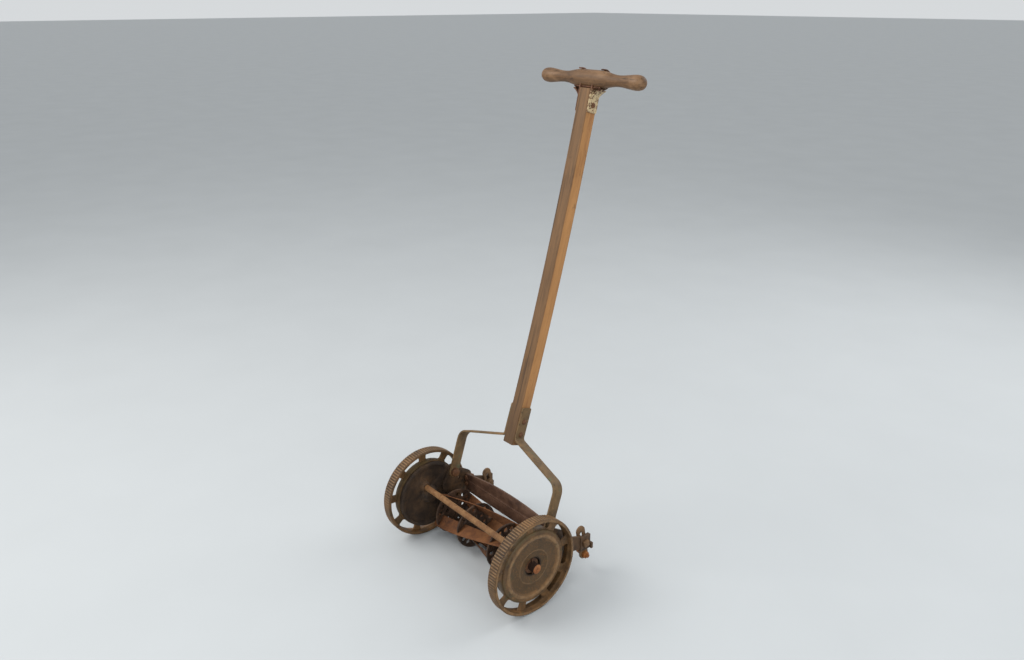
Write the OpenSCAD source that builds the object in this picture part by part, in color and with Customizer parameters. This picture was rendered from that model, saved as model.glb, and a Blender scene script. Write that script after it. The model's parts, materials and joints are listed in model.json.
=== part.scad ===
// Side-wheel reel mower: two geared wheels, a helical cutting reel, a bed knife and a wooden T handle.
// +X is the right wheel's outboard direction, +Y is the rear (handle side), +Z is up.
// The origin is on the ground under the middle of the wheel axis.

/* [Wheels] */
// Outside diameter of a wheel over its tread ribs
wheel_d = 240; // [230:2:300]
// Width of the tread
tread_w = 27.5; // [27:0.5:40]
// Distance between the inboard faces of the two wheels
wheel_gap = 401; // [340:1:520]
// Radial thickness of the rim under the ribs
rim_t = 6.5; // [5:0.5:10]
// Height of a tread rib
rib_h = 1.6; // [0.6:0.1:3]
// Number of tread ribs on one wheel
rib_count = 108; // [60:4:140]
// Number of openings round a wheel
slot_count = 9; // [5:1:12]
// Angle that one opening takes up
slot_sweep = 28; // [16:1:29]
// Thickness of the web that carries the openings
web_t = 5; // [3:0.5:8]
// Diameter of the fixed spindle that a wheel turns on
spindle_d = 23; // [20:1:30]
// How far a spindle stands out past the wheel
spindle_proud = 6; // [2:0.5:12]

/* [Gears] */
// Gear module
gear_m = 2.25; // [2:0.05:2.4]
// Teeth inside a wheel
ring_teeth = 74; // [66:1:76]
// Teeth on a pinion
pinion_teeth = 12; // [11:1:14]
// Backlash at the pitch circle
backlash = 0.5; // [0.3:0.05:0.8]
// Width of a pinion's teeth
pinion_w = 11.5; // [8:0.5:12]

/* [Reel] */
// Direction from the wheel axis to the reel axis, measured up from the rear
reel_dir = -45; // [-50:1:-38]
// Radius that the blade edges sweep
reel_r = 62; // [52:1:64]
// Length of the reel over its blades
reel_len = 344; // [280:1:350]
// Turn of a blade from one end of the reel to the other
blade_twist = 90; // [40:1:110]
// Inner radius of the blades
blade_inner_r = 38; // [36:1:44]
// Thickness of a blade at its edge, as an angle
blade_angle = 3; // [2:0.25:4]
// Angle of the first blade half way along the reel
blade_phase = 166; // [0:1:359]
// Diameter of the reel shaft
reel_shaft_d = 14; // [12:0.5:16]
// Distance from the blade edges in to the rim of a spider disc
spider_inset = 2; // [1.5:0.5:10]
// Thickness of a spider disc
spider_t = 5; // [3:0.5:8]
// Clearance between the blade edges and the bed knife
knife_gap = 0.3; // [0.2:0.05:1]

/* [Frame] */
// Running gap between a side frame and its wheel
wheel_side_gap = 1; // [0.5:0.25:2]
// Radius of the round plate that closes a wheel's drum
cover_r = 88.8; // [84:0.2:89.5]
// Thickness of a side frame's arms
arm_t = 6; // [4:0.5:8]
// Diameter of the tie rod
tie_rod_d = 15; // [12:0.5:22]
// Height of the rear cross plate at its middle
cross_plate_h = 63; // [58:1:68]
// Thickness of the rear cross plate
cross_plate_t = 5; // [3:0.5:6]
// Width of a roller bracket
bracket_w = 26; // [22:1:30]
// Thickness of a roller bracket
bracket_t = 5; // [4:0.5:6]
// Travel of a roller bracket each way
bracket_travel = 20; // [10:1:21]
// Diameter of the roller's stub axles
stub_d = 12; // [10:0.5:14]

/* [Handle] */
// Rake of the fork behind the vertical
rake = 18.1; // [10:0.1:25]
// Width of the fork's flat bars
fork_w = 29; // [24:1:32]
// Thickness of the fork's flat bars
fork_t = 5; // [4:0.5:6]
// Height of the fork's outer bends above the pivot, along the fork
elbow_z = 114; // [100:1:150]
// Height of the fork's inner bends above the pivot
waist_z = 166; // [156:1:210]
// Top of the fork's bars above the pivot
fork_top = 248; // [238:1:280]
// Width of the wooden shaft, side to side
shaft_w = 35; // [28:1:42]
// Depth of the wooden shaft, front to rear
shaft_depth = 32; // [25:1:38]
// Height of the shaft's lower end above the pivot
shaft_start = 151; // [148:1:154]
// Length of the shaft's centre line up to the grip
shaft_len = 887; // [650:1:1000]
// Angle through which the shaft curves forward over its length
shaft_bend = 5.2; // [2:0.1:7]
// Length of the cross grip
grip_len = 326; // [240:1:420]
// Diameter of the grip at its middle
grip_d = 40; // [34:1:44]
// Diameter of the grip at its two necks
grip_neck_d = 25; // [22:1:30]
// Diameter of the grip near its ends
grip_bulb_d = 34; // [30:1:40]
// Diameter of the handle pivot bolts
pivot_d = 12; // [8:0.5:14]

/* [Fits] */
// Radial clearance of shafts and pins that turn in their holes
run_fit = 0.08; // [0.04:0.01:0.1]
// Clearance between pieces that move past each other
side_fit = 0.5; // [0.3:0.1:0.8]

/* [Hidden] */
$fn = 96;

// Wheel and track
wheel_r = wheel_d / 2;
axle_z = wheel_r;
wheel_in = wheel_gap / 2;
wheel_out = wheel_in + tread_w;
rim_r = wheel_r - rib_h;
rim_in_r = rim_r - rim_t;
rib_pitch = 360 / rib_count;

// Gears: the pinion runs inside the wheel's ring of teeth
press_angle = 20;
pitch_ring = gear_m * ring_teeth / 2;
pitch_pinion = gear_m * pinion_teeth / 2;
gear_dist = pitch_ring - pitch_pinion;
ring_base = pitch_ring * cos(press_angle);
pinion_base = pitch_pinion * cos(press_angle);
ring_root = pitch_ring + gear_m;
ring_tip = pitch_ring - 0.6 * gear_m;
pinion_tip = pitch_pinion + 0.8 * gear_m;
pinion_root = pitch_pinion - gear_m;
tooth_wall = 4.7;
drum_in_r = ring_root + 1.4;
drum_r = ring_root + tooth_wall + 0.4;

// Wheel section, measured outward from the wheel's inboard face
face_in = 15.5;
face_t = 4.5;
face_out = face_in + face_t;
hub_start = 1.5;
hub_floor = 10;
hub_bore_r = spindle_d / 2 + run_fit;
recess_r = spindle_d / 2 + 10;
hub_r = recess_r + 5;
step_r = recess_r + 20;
bead_in_r = drum_r - 23.6;
bead_out_r = drum_r - 9.6;
web_mid = tread_w / 2;
slot_in_r = drum_r + 0.4;
slot_out_r = rim_in_r - 1.6;

// Side frames, measured along X from the middle
cover_out = wheel_in - wheel_side_gap;
cover_in = cover_out - 5.5;
flange_in = cover_out - 9.5;
arm_out = cover_out - 6.5;
arm_in = arm_out - arm_t;
spindle_in = arm_in - 5;
spindle_end = wheel_out + spindle_proud;

// Places on a side frame: rear and up from the wheel axis
reel_at = gear_dist * [cos(reel_dir), sin(reel_dir)];
tie_at = [-18, 32];
pivot_at = [73, 44];
lug_at = [118, 16];
pad_at = [190, -31];
core_at = [92, 18];
core_r = 4.5;
sole_clear_r = reel_r + 2;
sole_at = reel_at + polar(sole_clear_r + 7.7, -43.9);
screw_at = sole_at + [21, 15];

// Reel
shaft_r = reel_shaft_d / 2;
stub_r = shaft_r - 1;
reel_half = reel_len / 2;
blade_count = 4;
blade_lean = -28;
blade_slices = 24;
spider_r = reel_r - spider_inset;
spider_end = 22;
spider_x = (reel_half - spider_end) * [-1, -0.4, 0.4, 1];
housing_in = arm_in - 10;
housing_r = 20;
cup_r = 15;
cup_in_r = 12.4;
cup_len = 10;
ball_r = 2.1;
ball_pitch_r = cup_in_r - ball_r - 0.05;
ball_count = 9;
cone_r = ball_pitch_r - ball_r - 0.15;
pinion_start = wheel_in + 3;
shaft_end = wheel_in + face_in - 0.4;
dog_r = 8.6;
dog_w = 4;

// Bed knife and sole plate, in the reel's own frame: rear and up from the reel axis
lip_dir = -75;
lip_r = reel_r + knife_gap;
lip = lip_r * [cos(lip_dir), sin(lip_dir)];
knife_t = 2.8;
sole_seat = lip[1] + 0.02;
sole_start = asin(sole_seat / sole_clear_r);
sole_end = -30;
sole_half = arm_in - 8.5;
sole_bolt_d = 10;
sole_back = sole_at[0] - reel_at[0] + 9;

// Cross plate, rear and up from the wheel axis
plate_y = lug_at[0] - 8.5;
plate_step = 3;
plate_rise = 18;
plate_foot = lug_at[1] - 37;
plate_low = max(
    plate_foot,
    reel_at[1] + sqrt(max(0, pow(reel_r + 1.5, 2) - pow(plate_y - plate_step - reel_at[0], 2)))
);
plate_half = arm_in - fork_t - side_fit - 0.5;
plate_bolt_d = 8;
plate_bolt_x = plate_half - 6;
plate_bolt_z = [lug_at[1] - 18, lug_at[1]];
lug_low = plate_bolt_z[0] - 8;
lug_h = plate_bolt_z[1] - plate_bolt_z[0] + 14;

// Roller brackets: a slotted tongue that slides along its own length
tongue_dir = -79.2;
tongue_top = [pad_at[0] - 7.4, pad_at[1] + 31];
tongue_len = 71.3;
tongue_bolt = 31;
clamp_d = 8;
slot_w = clamp_d + 1;
slot_half = bracket_travel + 3;
bracket_out = arm_in - 0.3;
bracket_in = bracket_out - bracket_t;
stub_len = 18;

// Fork and handle, in the handle's frame: X, and Z along the fork from the pivot
fork_out = arm_in - side_fit;
fork_mid = fork_out - fork_t / 2;
eye_r = fork_w / 2;
waist_x = shaft_w / 2 + fork_t / 2;
bend_r = 28;
waist_r = 10;
rivet_z = [180, 213];
rivet_r = 4;
rivet_head_r = 6.5;
bow_r = shaft_len / (shaft_bend * PI / 180);
bow_fn = 3600;
saddle_t = 3;
saddle_w = 30;
saddle_len = 62;
cradle_r = grip_d / 2 + 0.3;
cradle_out_r = cradle_r + saddle_t;
cradle_half = 42;
cradle_start = 240;
ear_w = 12;
saddle_bolt_r = 3.5;
saddle_bolt_drop = [34, 59];
pivot_r = pivot_d / 2;
pivot_head_r = pivot_r + 3.5;
stop_reach = 26;
stop_r = 5;
stop_angle = 25;

// ---------- geometry helpers ----------

// Point at radius r and angle a
function polar(r, a) = [r * cos(a), r * sin(a)];

// Involute function of a radius over a base circle, in degrees
function inv_at(base, r) = sqrt(max(0, pow(r / base, 2) - 1)) * 180 / PI - acos(min(1, base / r));

// Half angle of an involute tooth at radius r, from its half angle at the pitch circle
function half_at(base, pitch, half, r) = half + inv_at(base, pitch) - inv_at(base, max(r, base));

// Unit vector and left-hand normal of a 2-D vector
function unit(v) = v / norm(v);
function normal(v) = [-unit(v)[1], unit(v)[0]];

// Points of a round bend of radius r at corner b of the path a, b, c
function bend(a, b, c, r, n = 8) =
    let (
        u = unit(a - b),
        w = unit(c - b),
        half = acos(u * w) / 2,
        back = r / tan(half),
        centre = b + unit(u + w) * r / sin(half),
        start = b + u * back - centre,
        finish = b + w * back - centre,
        a0 = atan2(start[1], start[0]),
        turn = atan2(finish[1], finish[0]) - a0,
        sweep = turn > 180 ? turn - 360 : turn < -180 ? turn + 360 : turn
    )
    [for (i = [0:n]) centre + polar(r, a0 + sweep * i / n)];

// Path moved sideways by d
function sidestep(path, d) = [
    for (i = [0:len(path) - 1])
        let (
            before = i == 0 ? path[1] - path[0] : path[i] - path[i - 1],
            after = i == len(path) - 1 ? before : path[i + 1] - path[i],
            side = unit(normal(before) + normal(after))
        )
        path[i] + side * d / (side * normal(before))
];

// Reverse a list
function backward(list) = [for (i = [len(list) - 1:-1:0]) list[i]];

// Turns drawings made in (rear, up) and raised along Z so that they stand along +X
module axial() {
    rotate([90, 0, 90]) children();
}

// The same, with the origin on the wheel axis
module on_axle() {
    translate([0, 0, axle_z]) axial() children();
}

// The same, with the origin on the reel axis
module on_reel() {
    on_axle() translate([reel_at[0], reel_at[1], 0]) children();
}

// A piece and its mirror image on the other side
module both_sides() {
    children();
    mirror([1, 0, 0]) children();
}

// The handle's own frame: its origin is on the pivot and its Z runs up the fork
module on_handle() {
    translate([0, pivot_at[0], axle_z + pivot_at[1]]) rotate([-rake, 0, 0]) children();
}

// Flat link of thickness t between two round ends, with its lower face at height from
module link(p, rp, q, rq, from, t) {
    side = normal(q - p);
    translate([p[0], p[1], from]) cylinder(r = rp, h = t);
    translate([q[0], q[1], from]) cylinder(r = rq, h = t);
    translate([0, 0, from]) linear_extrude(t) polygon([
        p + side * rp * 0.99, q + side * rq * 0.99, q - side * rq * 0.99, p - side * rp * 0.99
    ]);
}

// Disc at a place, from one X to another, in an axial frame
module post(at, r, from, to) {
    translate([at[0], at[1], from]) cylinder(r = r, h = to - from);
}

// ---------- wheels ----------

// Outline of the tread with its ribs
module tread_outline() {
    polygon([
        for (i = [0:rib_count - 1], p = [[rim_r, -0.32], [wheel_r, -0.22], [wheel_r, 0.22], [rim_r, 0.32]])
            polar(p[0], rib_pitch * (i + p[1]))
    ]);
}

// Outline of the spaces between the teeth inside the wheel
module ring_space_outline() {
    half = 90 / ring_teeth + backlash / 4 / pitch_ring * 180 / PI;
    radii = [ring_tip, pitch_ring, ring_root];
    polygon([
        for (i = [0:ring_teeth - 1], s = [-1, 1], k = [0:2])
            let (r = radii[s < 0 ? k : 2 - k])
            polar(r, reel_dir + 360 / ring_teeth * i + s * half_at(ring_base, pitch_ring, half, r))
    ]);
}

// Section of the drum, its pressed face and its hub
module drum_section() {
    polygon([
        [hub_bore_r, hub_start], [hub_r, hub_start], [hub_r, face_in],
        [drum_in_r, face_in], [drum_in_r, 0], [drum_r, 0], [drum_r, face_in],
        [drum_r - 0.8, face_out - 2], [drum_r - 3, face_out + 0.2], [drum_r - 7, face_out + 1],
        [bead_out_r, face_out + 0.9], [bead_out_r - 2.4, face_out + 2.4], [bead_out_r - 5.4, face_out + 3],
        [bead_out_r - 8.4, face_out + 2.4], [bead_in_r + 2, face_out + 0.8], [bead_in_r, face_out],
        [step_r + 1.5, face_out], [step_r + 0.8, face_out + 1], [step_r - 0.8, face_out + 1],
        [step_r - 1.8, face_out - 0.4], [recess_r + 2, face_out - 2.4], [recess_r, face_out - 3],
        [recess_r, hub_floor], [hub_bore_r, hub_floor]
    ]);
}

// The openings between the drum and the rim
module wheel_slots() {
    first = -7 - slot_sweep / 2;
    for (i = [0:slot_count - 1])
        rotate([0, 0, first + 360 / slot_count * i])
            rotate_extrude(angle = slot_sweep)
                translate([slot_in_r, 0]) square([slot_out_r - slot_in_r, tread_w]);
}

// One cast wheel, standing on the right
module wheel() {
    color("#7a5a3c") on_axle() translate([0, 0, wheel_in]) {
        linear_extrude(tread_w) difference() {
            tread_outline();
            circle(r = rim_in_r);
        }
        difference() {
            translate([0, 0, web_mid - web_t / 2]) linear_extrude(web_t) difference() {
                circle(r = rim_in_r + 1);
                circle(r = drum_r - 1.5);
            }
            wheel_slots();
        }
        rotate_extrude() drum_section();
        translate([0, 0, 2]) linear_extrude(face_in - 1) difference() {
            circle(r = drum_in_r + 1.2);
            ring_space_outline();
        }
    }
}

module wheel_right() { wheel(); }
module wheel_left() { mirror([1, 0, 0]) wheel(); }

// Fixed spindles, pressed into the side frames
module spindle() {
    color("#a8663a") on_axle() difference() {
        post([0, 0], spindle_d / 2, spindle_in, spindle_end);
        translate([0, 0, wheel_in + hub_floor + 5.5]) rotate([90, 0, 0])
            cylinder(r = 2.2, h = 2 * spindle_d, center = true);
    }
}

module wheel_spindle_right() { spindle(); }
module wheel_spindle_left() { mirror([1, 0, 0]) spindle(); }

module hub_washers() {
    color("#5b4636") both_sides() on_axle() difference() {
        post([0, 0], recess_r - 2.5, wheel_in + hub_floor + 0.4, wheel_in + hub_floor + 2.8);
        post([0, 0], spindle_d / 2 + 0.2, wheel_in, wheel_out);
    }
}

module cotter_pins() {
    color("#6b5a48") both_sides() on_axle() translate([0, 0, wheel_in + hub_floor + 5.5]) rotate([90, 0, 0])
        cylinder(r = 2, h = 2 * recess_r - 5, center = true);
}

// ---------- side frames ----------

// Round dished plate that closes the wheel's drum
module cover_plate() {
    rotate_extrude() polygon([
        [0, cover_in], [cover_r - 10, cover_in], [cover_r - 8, flange_in], [cover_r, flange_in],
        [cover_r, cover_out], [0, cover_out]
    ]);
}

// One flat arm of a side frame
module arm(p, rp, q, rq) {
    link(p, rp, q, rq, arm_in, arm_t);
}

// Flat arms that reach back from the cover plate, with a cored hole where the upper ones meet
module frame_arms() {
    difference() {
        union() {
            arm([60, 8], 22, pad_at - [4, 0], 17);
            arm([62, 20], 18, pivot_at, 16);
            arm(pivot_at, 14, lug_at, 14);
            arm(reel_at, 24, sole_at, 12);
            arm(sole_at, 12, screw_at, 9);
            arm(screw_at, 9, lug_at - [6, 22], 12);
        }
        post(core_at, core_r, arm_in - 1, arm_out + 1);
    }
}

// Place of the peg that stops the handle's forward swing, rear and up from the wheel axis
function stop_place() =
    let (a = rake - stop_angle)
    pivot_at + stop_reach * [sin(a), cos(a)] + (fork_w / 2 + stop_r + 0.4) * [-cos(a), sin(a)];

module side_frame() {
    color("#4a382b") on_axle() difference() {
        union() {
            cover_plate();
            frame_arms();
            translate([0, 0, arm_in - 7]) cylinder(r1 = spindle_d / 2 + 6, r2 = spindle_d / 2 + 13, h = 14);
            translate([tie_at[0], tie_at[1], arm_in - 9])
                cylinder(r1 = tie_rod_d / 2 + 4, r2 = tie_rod_d / 2 + 8, h = 16);
            post(reel_at, housing_r, housing_in, cover_in + 1);
            post(pivot_at, 16, arm_in, cover_out);
            post(sole_at, 12, arm_in - 8, arm_out);
            post(stop_place(), stop_r, fork_out - fork_t, cover_in + 1);
            translate([lug_at[0] - 3, lug_low, plate_bolt_x - 7]) cube([6, lug_h, arm_out - plate_bolt_x + 7]);
            translate([pad_at[0] - 16, pad_at[1] - 19, arm_in]) cube([32, 38, arm_t + 3]);
            translate([pad_at[0] + 14, pad_at[1] - 19, arm_in]) cube([6, 15, arm_t + 9]);
            translate([screw_at[0] - 6, screw_at[1] - 8, arm_in - 34]) cube([12, 16, 34 + arm_t]);
        }
        post([0, 0], spindle_d / 2, spindle_in, cover_out + 1);
        post(tie_at, tie_rod_d / 2, 0, arm_in + 3);
        post(reel_at, cup_r, 0, housing_in + cup_len + 3);
        post(reel_at, shaft_r + 1.5, 0, cover_out + 1);
        post(pivot_at, pivot_r, 0, cover_out + 1);
        post(pivot_at, pivot_head_r + 0.5, cover_out - 5.5, cover_out + 1);
        post(sole_at, sole_bolt_d / 2, 0, cover_out + 1);
        post(tongue_top + polar(tongue_bolt, tongue_dir), clamp_d / 2, 0, cover_out + 20);
        for (z = plate_bolt_z)
            translate([0, z, plate_bolt_x]) rotate([0, 90, 0]) cylinder(r = plate_bolt_d / 2, h = 2 * lug_at[0]);
        translate([0, screw_at[1], arm_in - 26]) rotate([0, 90, 0]) cylinder(r = 4, h = 2 * screw_at[0]);
    }
}

module side_frame_right() { side_frame(); }
module side_frame_left() { mirror([1, 0, 0]) side_frame(); }

module tie_rod() {
    color("#a9713f") on_axle() post(tie_at, tie_rod_d / 2, -arm_in - 3, arm_in + 3);
}

// Wide plate between the side frames: its top edge is arched and its lower part stands forward of the rest
module rear_cross_plate() {
    color("#5d3b2c") on_axle() difference() {
        union() {
            translate([plate_y, 0, 0]) rotate([0, 90, 0]) linear_extrude(cross_plate_t) polygon(concat(
                [[plate_half, plate_low], [-plate_half, plate_low]],
                [for (i = [-12:12]) [
                    plate_half * i / 12,
                    plate_foot + cross_plate_h - plate_rise * pow(i / 12, 2)
                ]]
            ));
            translate([plate_y - plate_step, plate_low, 20 - plate_half])
                cube([plate_step + 1, lug_at[1] - 5 - plate_low, 2 * plate_half - 40]);
        }
        for (side = [-1, 1], z = plate_bolt_z)
            translate([0, z, side * plate_bolt_x]) rotate([0, 90, 0])
                cylinder(r = plate_bolt_d / 2, h = 2 * lug_at[0]);
    }
}

// Hexagonal head or nut along +X of an axial frame
module hexagon(across, h) {
    cylinder(r = across / sqrt(3), h = h, $fn = 6);
}

module cross_plate_bolts() {
    color("#6a4a34") both_sides() on_axle()
        for (z = plate_bolt_z) translate([0, z, plate_bolt_x]) rotate([0, 90, 0]) {
            translate([0, 0, plate_y - 5]) hexagon(12, 5);
            translate([0, 0, plate_y - 1]) cylinder(r = plate_bolt_d / 2, h = lug_at[0] - plate_y + 11);
            translate([0, 0, lug_at[0] + 3]) hexagon(12, 6);
        }
}

// ---------- cutting bed ----------

// Section of the sole plate in the reel's frame
module sole_section() {
    polygon(concat(
        [for (i = [0:10]) polar(sole_clear_r, sole_start + (sole_end - sole_start) * i / 10)],
        [[sole_back, polar(sole_clear_r, sole_end)[1]], [sole_back, sole_seat + 4], [sole_back - 4, sole_seat]]
    ));
}

module sole_plate() {
    color("#54402f") on_reel() difference() {
        translate([0, 0, -sole_half]) linear_extrude(2 * sole_half) sole_section();
        for (side = [-1, 1])
            translate([sole_at[0] - reel_at[0], sole_at[1] - reel_at[1], side * (sole_half - 6)])
                cylinder(r = sole_bolt_d / 2 + run_fit, h = 14, center = true);
        knife_screw_places() translate([0, 0, -2]) cylinder(r = 3, h = 9);
    }
}

// Where the bed knife's screws go: Z points up into the sole plate
module knife_screw_places() {
    for (x = [-0.85:0.425:0.86])
        translate([sole_back - 14, lip[1] - knife_t, x * sole_half]) rotate([-90, 0, 0]) children();
}

module bed_knife() {
    color("#8a5a3a") on_reel() difference() {
        translate([lip[0], lip[1] - knife_t, -sole_half + 2])
            cube([sole_back - 7 - lip[0], knife_t, 2 * sole_half - 4]);
        knife_screw_places() translate([0, 0, -1]) cylinder(r = 3, h = knife_t + 2);
    }
}

module bed_knife_screws() {
    color("#6a4a34") on_reel() knife_screw_places() {
        cylinder(r = 3, h = knife_t + 4);
        translate([0, 0, -1.8]) cylinder(r1 = 4, r2 = 5.5, h = 1.8);
    }
}

module sole_pivot_bolts() {
    color("#7b5236") both_sides() on_axle() {
        post(sole_at, sole_bolt_d / 2, sole_half - 12, arm_out + 1);
        translate([sole_at[0], sole_at[1], arm_out]) hexagon(17, 6);
    }
}

module adjusting_screws() {
    color("#7b5236") both_sides() on_axle() translate([0, screw_at[1], arm_in - 26]) rotate([0, 90, 0]) {
        translate([0, 0, reel_at[0] + sole_back + 0.5])
            cylinder(r = 4, h = screw_at[0] + 18 - reel_at[0] - sole_back);
        translate([0, 0, screw_at[0] + 18]) hexagon(13, 6);
    }
}

module adjusting_lock_nuts() {
    color("#6a4a34") both_sides() on_axle() translate([0, screw_at[1], arm_in - 26]) rotate([0, 90, 0])
        difference() {
            translate([0, 0, screw_at[0] + 6.1]) hexagon(13, 5);
            cylinder(r = 4, h = 2 * screw_at[0]);
        }
}

// ---------- roller brackets ----------

// Frame along a bracket's tongue: the origin is the centre of its round top
module on_tongue() {
    on_axle() translate([tongue_top[0], tongue_top[1], 0]) rotate([0, 0, tongue_dir]) children();
}

module roller_bracket() {
    color("#6d4a30") on_tongue() difference() {
        link([0, 0], bracket_w / 2, [tongue_len, 0], bracket_w / 2, bracket_in, bracket_t);
        link([tongue_bolt - slot_half, 0], slot_w / 2, [tongue_bolt + slot_half, 0], slot_w / 2,
            bracket_in - 1, bracket_t + 2);
        post([tongue_len, 0], stub_d / 2 - 1, 0, arm_out);
    }
}

module roller_bracket_right() { roller_bracket(); }
module roller_bracket_left() { mirror([1, 0, 0]) roller_bracket(); }

// Stub that the ground roller turns on: it is screwed through the foot of the tongue
module roller_stub_axle() {
    color("#b4622c") on_tongue() {
        post([tongue_len, 0], stub_d / 2, bracket_in - stub_len, bracket_in);
        post([tongue_len, 0], stub_d / 2 - 1, bracket_in - 1, bracket_out + 14);
        translate([tongue_len, 0, bracket_out]) hexagon(17, 8);
    }
}

module roller_stub_axle_right() { roller_stub_axle(); }
module roller_stub_axle_left() { mirror([1, 0, 0]) roller_stub_axle(); }

module bracket_clamp_bolts() {
    color("#6d4a30") both_sides() on_tongue() {
        post([tongue_bolt, 0], clamp_d / 2, bracket_in - 13, arm_out + 3.5);
        translate([tongue_bolt - 8, -8, arm_out + 3]) cube([16, 16, 7]);
    }
}

module bracket_clamp_nuts() {
    color("#5b4636") both_sides() on_tongue() difference() {
        union() {
            post([tongue_bolt, 0], 11, bracket_in - 2.2, bracket_in - 0.3);
            translate([tongue_bolt, 0, bracket_in - 10.2]) hexagon(17, 8);
        }
        post([tongue_bolt, 0], clamp_d / 2, 0, arm_out);
    }
}

// ---------- reel ----------

// Angle of a blade at a distance x from the middle of the reel
function blade_at(x) = -blade_twist * x / reel_len;

// Section of one blade
module blade_section() {
    polygon([
        polar(reel_r, 0), polar(reel_r, blade_angle),
        polar(blade_inner_r, blade_lean + blade_angle * 1.5), polar(blade_inner_r, blade_lean)
    ]);
}

// Helical blade number n, counted from 1
module reel_blade(n) {
    color("#8a4b2c") on_reel() rotate([0, 0, blade_phase + 360 / blade_count * (n - 1)])
        translate([0, 0, -reel_half]) rotate([0, 0, blade_at(-reel_half)])
            linear_extrude(reel_len, twist = blade_twist, slices = blade_slices, segments = 4) blade_section();
}

module reel_blade_1() { reel_blade(1); }
module reel_blade_2() { reel_blade(2); }
module reel_blade_3() { reel_blade(3); }
module reel_blade_4() { reel_blade(4); }

// Disc that carries the blades in its slots
module spider(x) {
    color("#4b3626") on_reel() translate([0, 0, x]) rotate([0, 0, blade_phase + blade_at(x)]) difference() {
        union() {
            translate([0, 0, -spider_t / 2]) cylinder(r = spider_r, h = spider_t);
            translate([0, 0, -11]) cylinder(r = shaft_r + 7, h = 22);
        }
        translate([0, 0, -12]) cylinder(r = shaft_r, h = 24);
        for (i = [0:blade_count - 1]) rotate([0, 0, 360 / blade_count * i])
            translate([0, 0, -spider_t]) linear_extrude(2 * spider_t) polygon([
                polar(reel_r + 2, -1.4), polar(reel_r + 2, blade_angle + 1.4),
                polar(blade_inner_r - 1, blade_lean + blade_angle * 1.5 + 2),
                polar(blade_inner_r - 1, blade_lean - 6)
            ]);
        for (i = [0:blade_count - 1], h = [[0.09, 0.75, 6.2], [0.34, 0.75, 6.2], [0.59, 0.75, 6.2], [0, 0.44, 5], [0.5, 0.44, 5]])
            rotate([0, 0, 360 / blade_count * (i + h[0])])
                translate([h[1] * reel_r, 0, -spider_t]) cylinder(r = h[2], h = 2 * spider_t);
    }
}

module reel_spider_left() { spider(spider_x[0]); }
module reel_spider_inner_left() { spider(spider_x[1]); }
module reel_spider_inner_right() { spider(spider_x[2]); }
module reel_spider_right() { spider(spider_x[3]); }

module reel_shaft() {
    color("#6e5340") on_reel() difference() {
        union() {
            post([0, 0], shaft_r, -wheel_in - 0.5, wheel_in + 0.5);
            post([0, 0], stub_r, -shaft_end, shaft_end);
        }
        for (side = [-1, 1])
            translate([0, 0, side * (pinion_start + 8)])
                cube([2 * shaft_r, dog_w + 0.2, dog_w + 0.2], center = true);
    }
}

module bearing_cups() {
    color("#584637") both_sides() on_reel() difference() {
        post([0, 0], cup_r, housing_in + 1, housing_in + 1 + cup_len);
        post([0, 0], cup_in_r, housing_in, housing_in + 2 + cup_len);
    }
}

module bearing_balls() {
    color("#8f8a84") both_sides() on_reel()
        for (i = [0:ball_count - 1]) rotate([0, 0, 360 / ball_count * i])
            translate([ball_pitch_r, 0, housing_in + 1 + cup_len / 2]) sphere(r = ball_r, $fn = 24);
}

module bearing_cones() {
    color("#6f655b") both_sides() on_reel() difference() {
        post([0, 0], cone_r, housing_in + 1, housing_in + 1 + cup_len);
        post([0, 0], shaft_r, housing_in, housing_in + 2 + cup_len);
    }
}

// Outline of a pinion
module pinion_outline() {
    half = 90 / pinion_teeth - backlash / 4 / pitch_pinion * 180 / PI;
    radii = [pinion_root, pinion_base, pitch_pinion, pinion_tip];
    polygon([
        for (i = [0:pinion_teeth - 1], s = [-1, 1], k = [0:3])
            let (r = radii[s < 0 ? k : 3 - k])
            polar(r, reel_dir + 360 / pinion_teeth * i + s * half_at(pinion_base, pitch_pinion, half, r))
    ]);
}

// Pinion with the notched recess that its driving dog works in
module pinion() {
    color("#6b5a4a") on_reel() difference() {
        union() {
            translate([0, 0, pinion_start]) linear_extrude(pinion_w) pinion_outline();
            post([0, 0], pinion_root - 0.6, wheel_in + 0.6, pinion_start + 1);
        }
        post([0, 0], shaft_r + run_fit, wheel_in - 1, wheel_in + 1);
        post([0, 0], stub_r + run_fit, wheel_in, wheel_out);
        post([0, 0], dog_r, pinion_start + 5, wheel_out);
        for (i = [0:2]) rotate([0, 0, 120 * i]) post([dog_r - 1.2, 0], 2.1, pinion_start + 5, wheel_out);
    }
}

module pinion_right() { pinion(); }
module pinion_left() { mirror([1, 0, 0]) pinion(); }

// Sliding dogs that let the reel run on when the mower is pulled back
module ratchet_dogs() {
    color("#857a6e") both_sides() on_reel()
        translate([0, 0, pinion_start + 8]) cube([2 * dog_r - 1, dog_w, dog_w], center = true);
}

// ---------- handle ----------

// Centre line of the right fork bar, as X and height along the fork
function fork_line() =
    let (
        foot = [fork_mid, 0],
        elbow = [fork_mid, elbow_z],
        waist = [waist_x, waist_z],
        top = [waist_x, fork_top]
    )
    concat([foot], bend(foot, elbow, waist, bend_r), bend(elbow, waist, top, waist_r), [top]);

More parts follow.
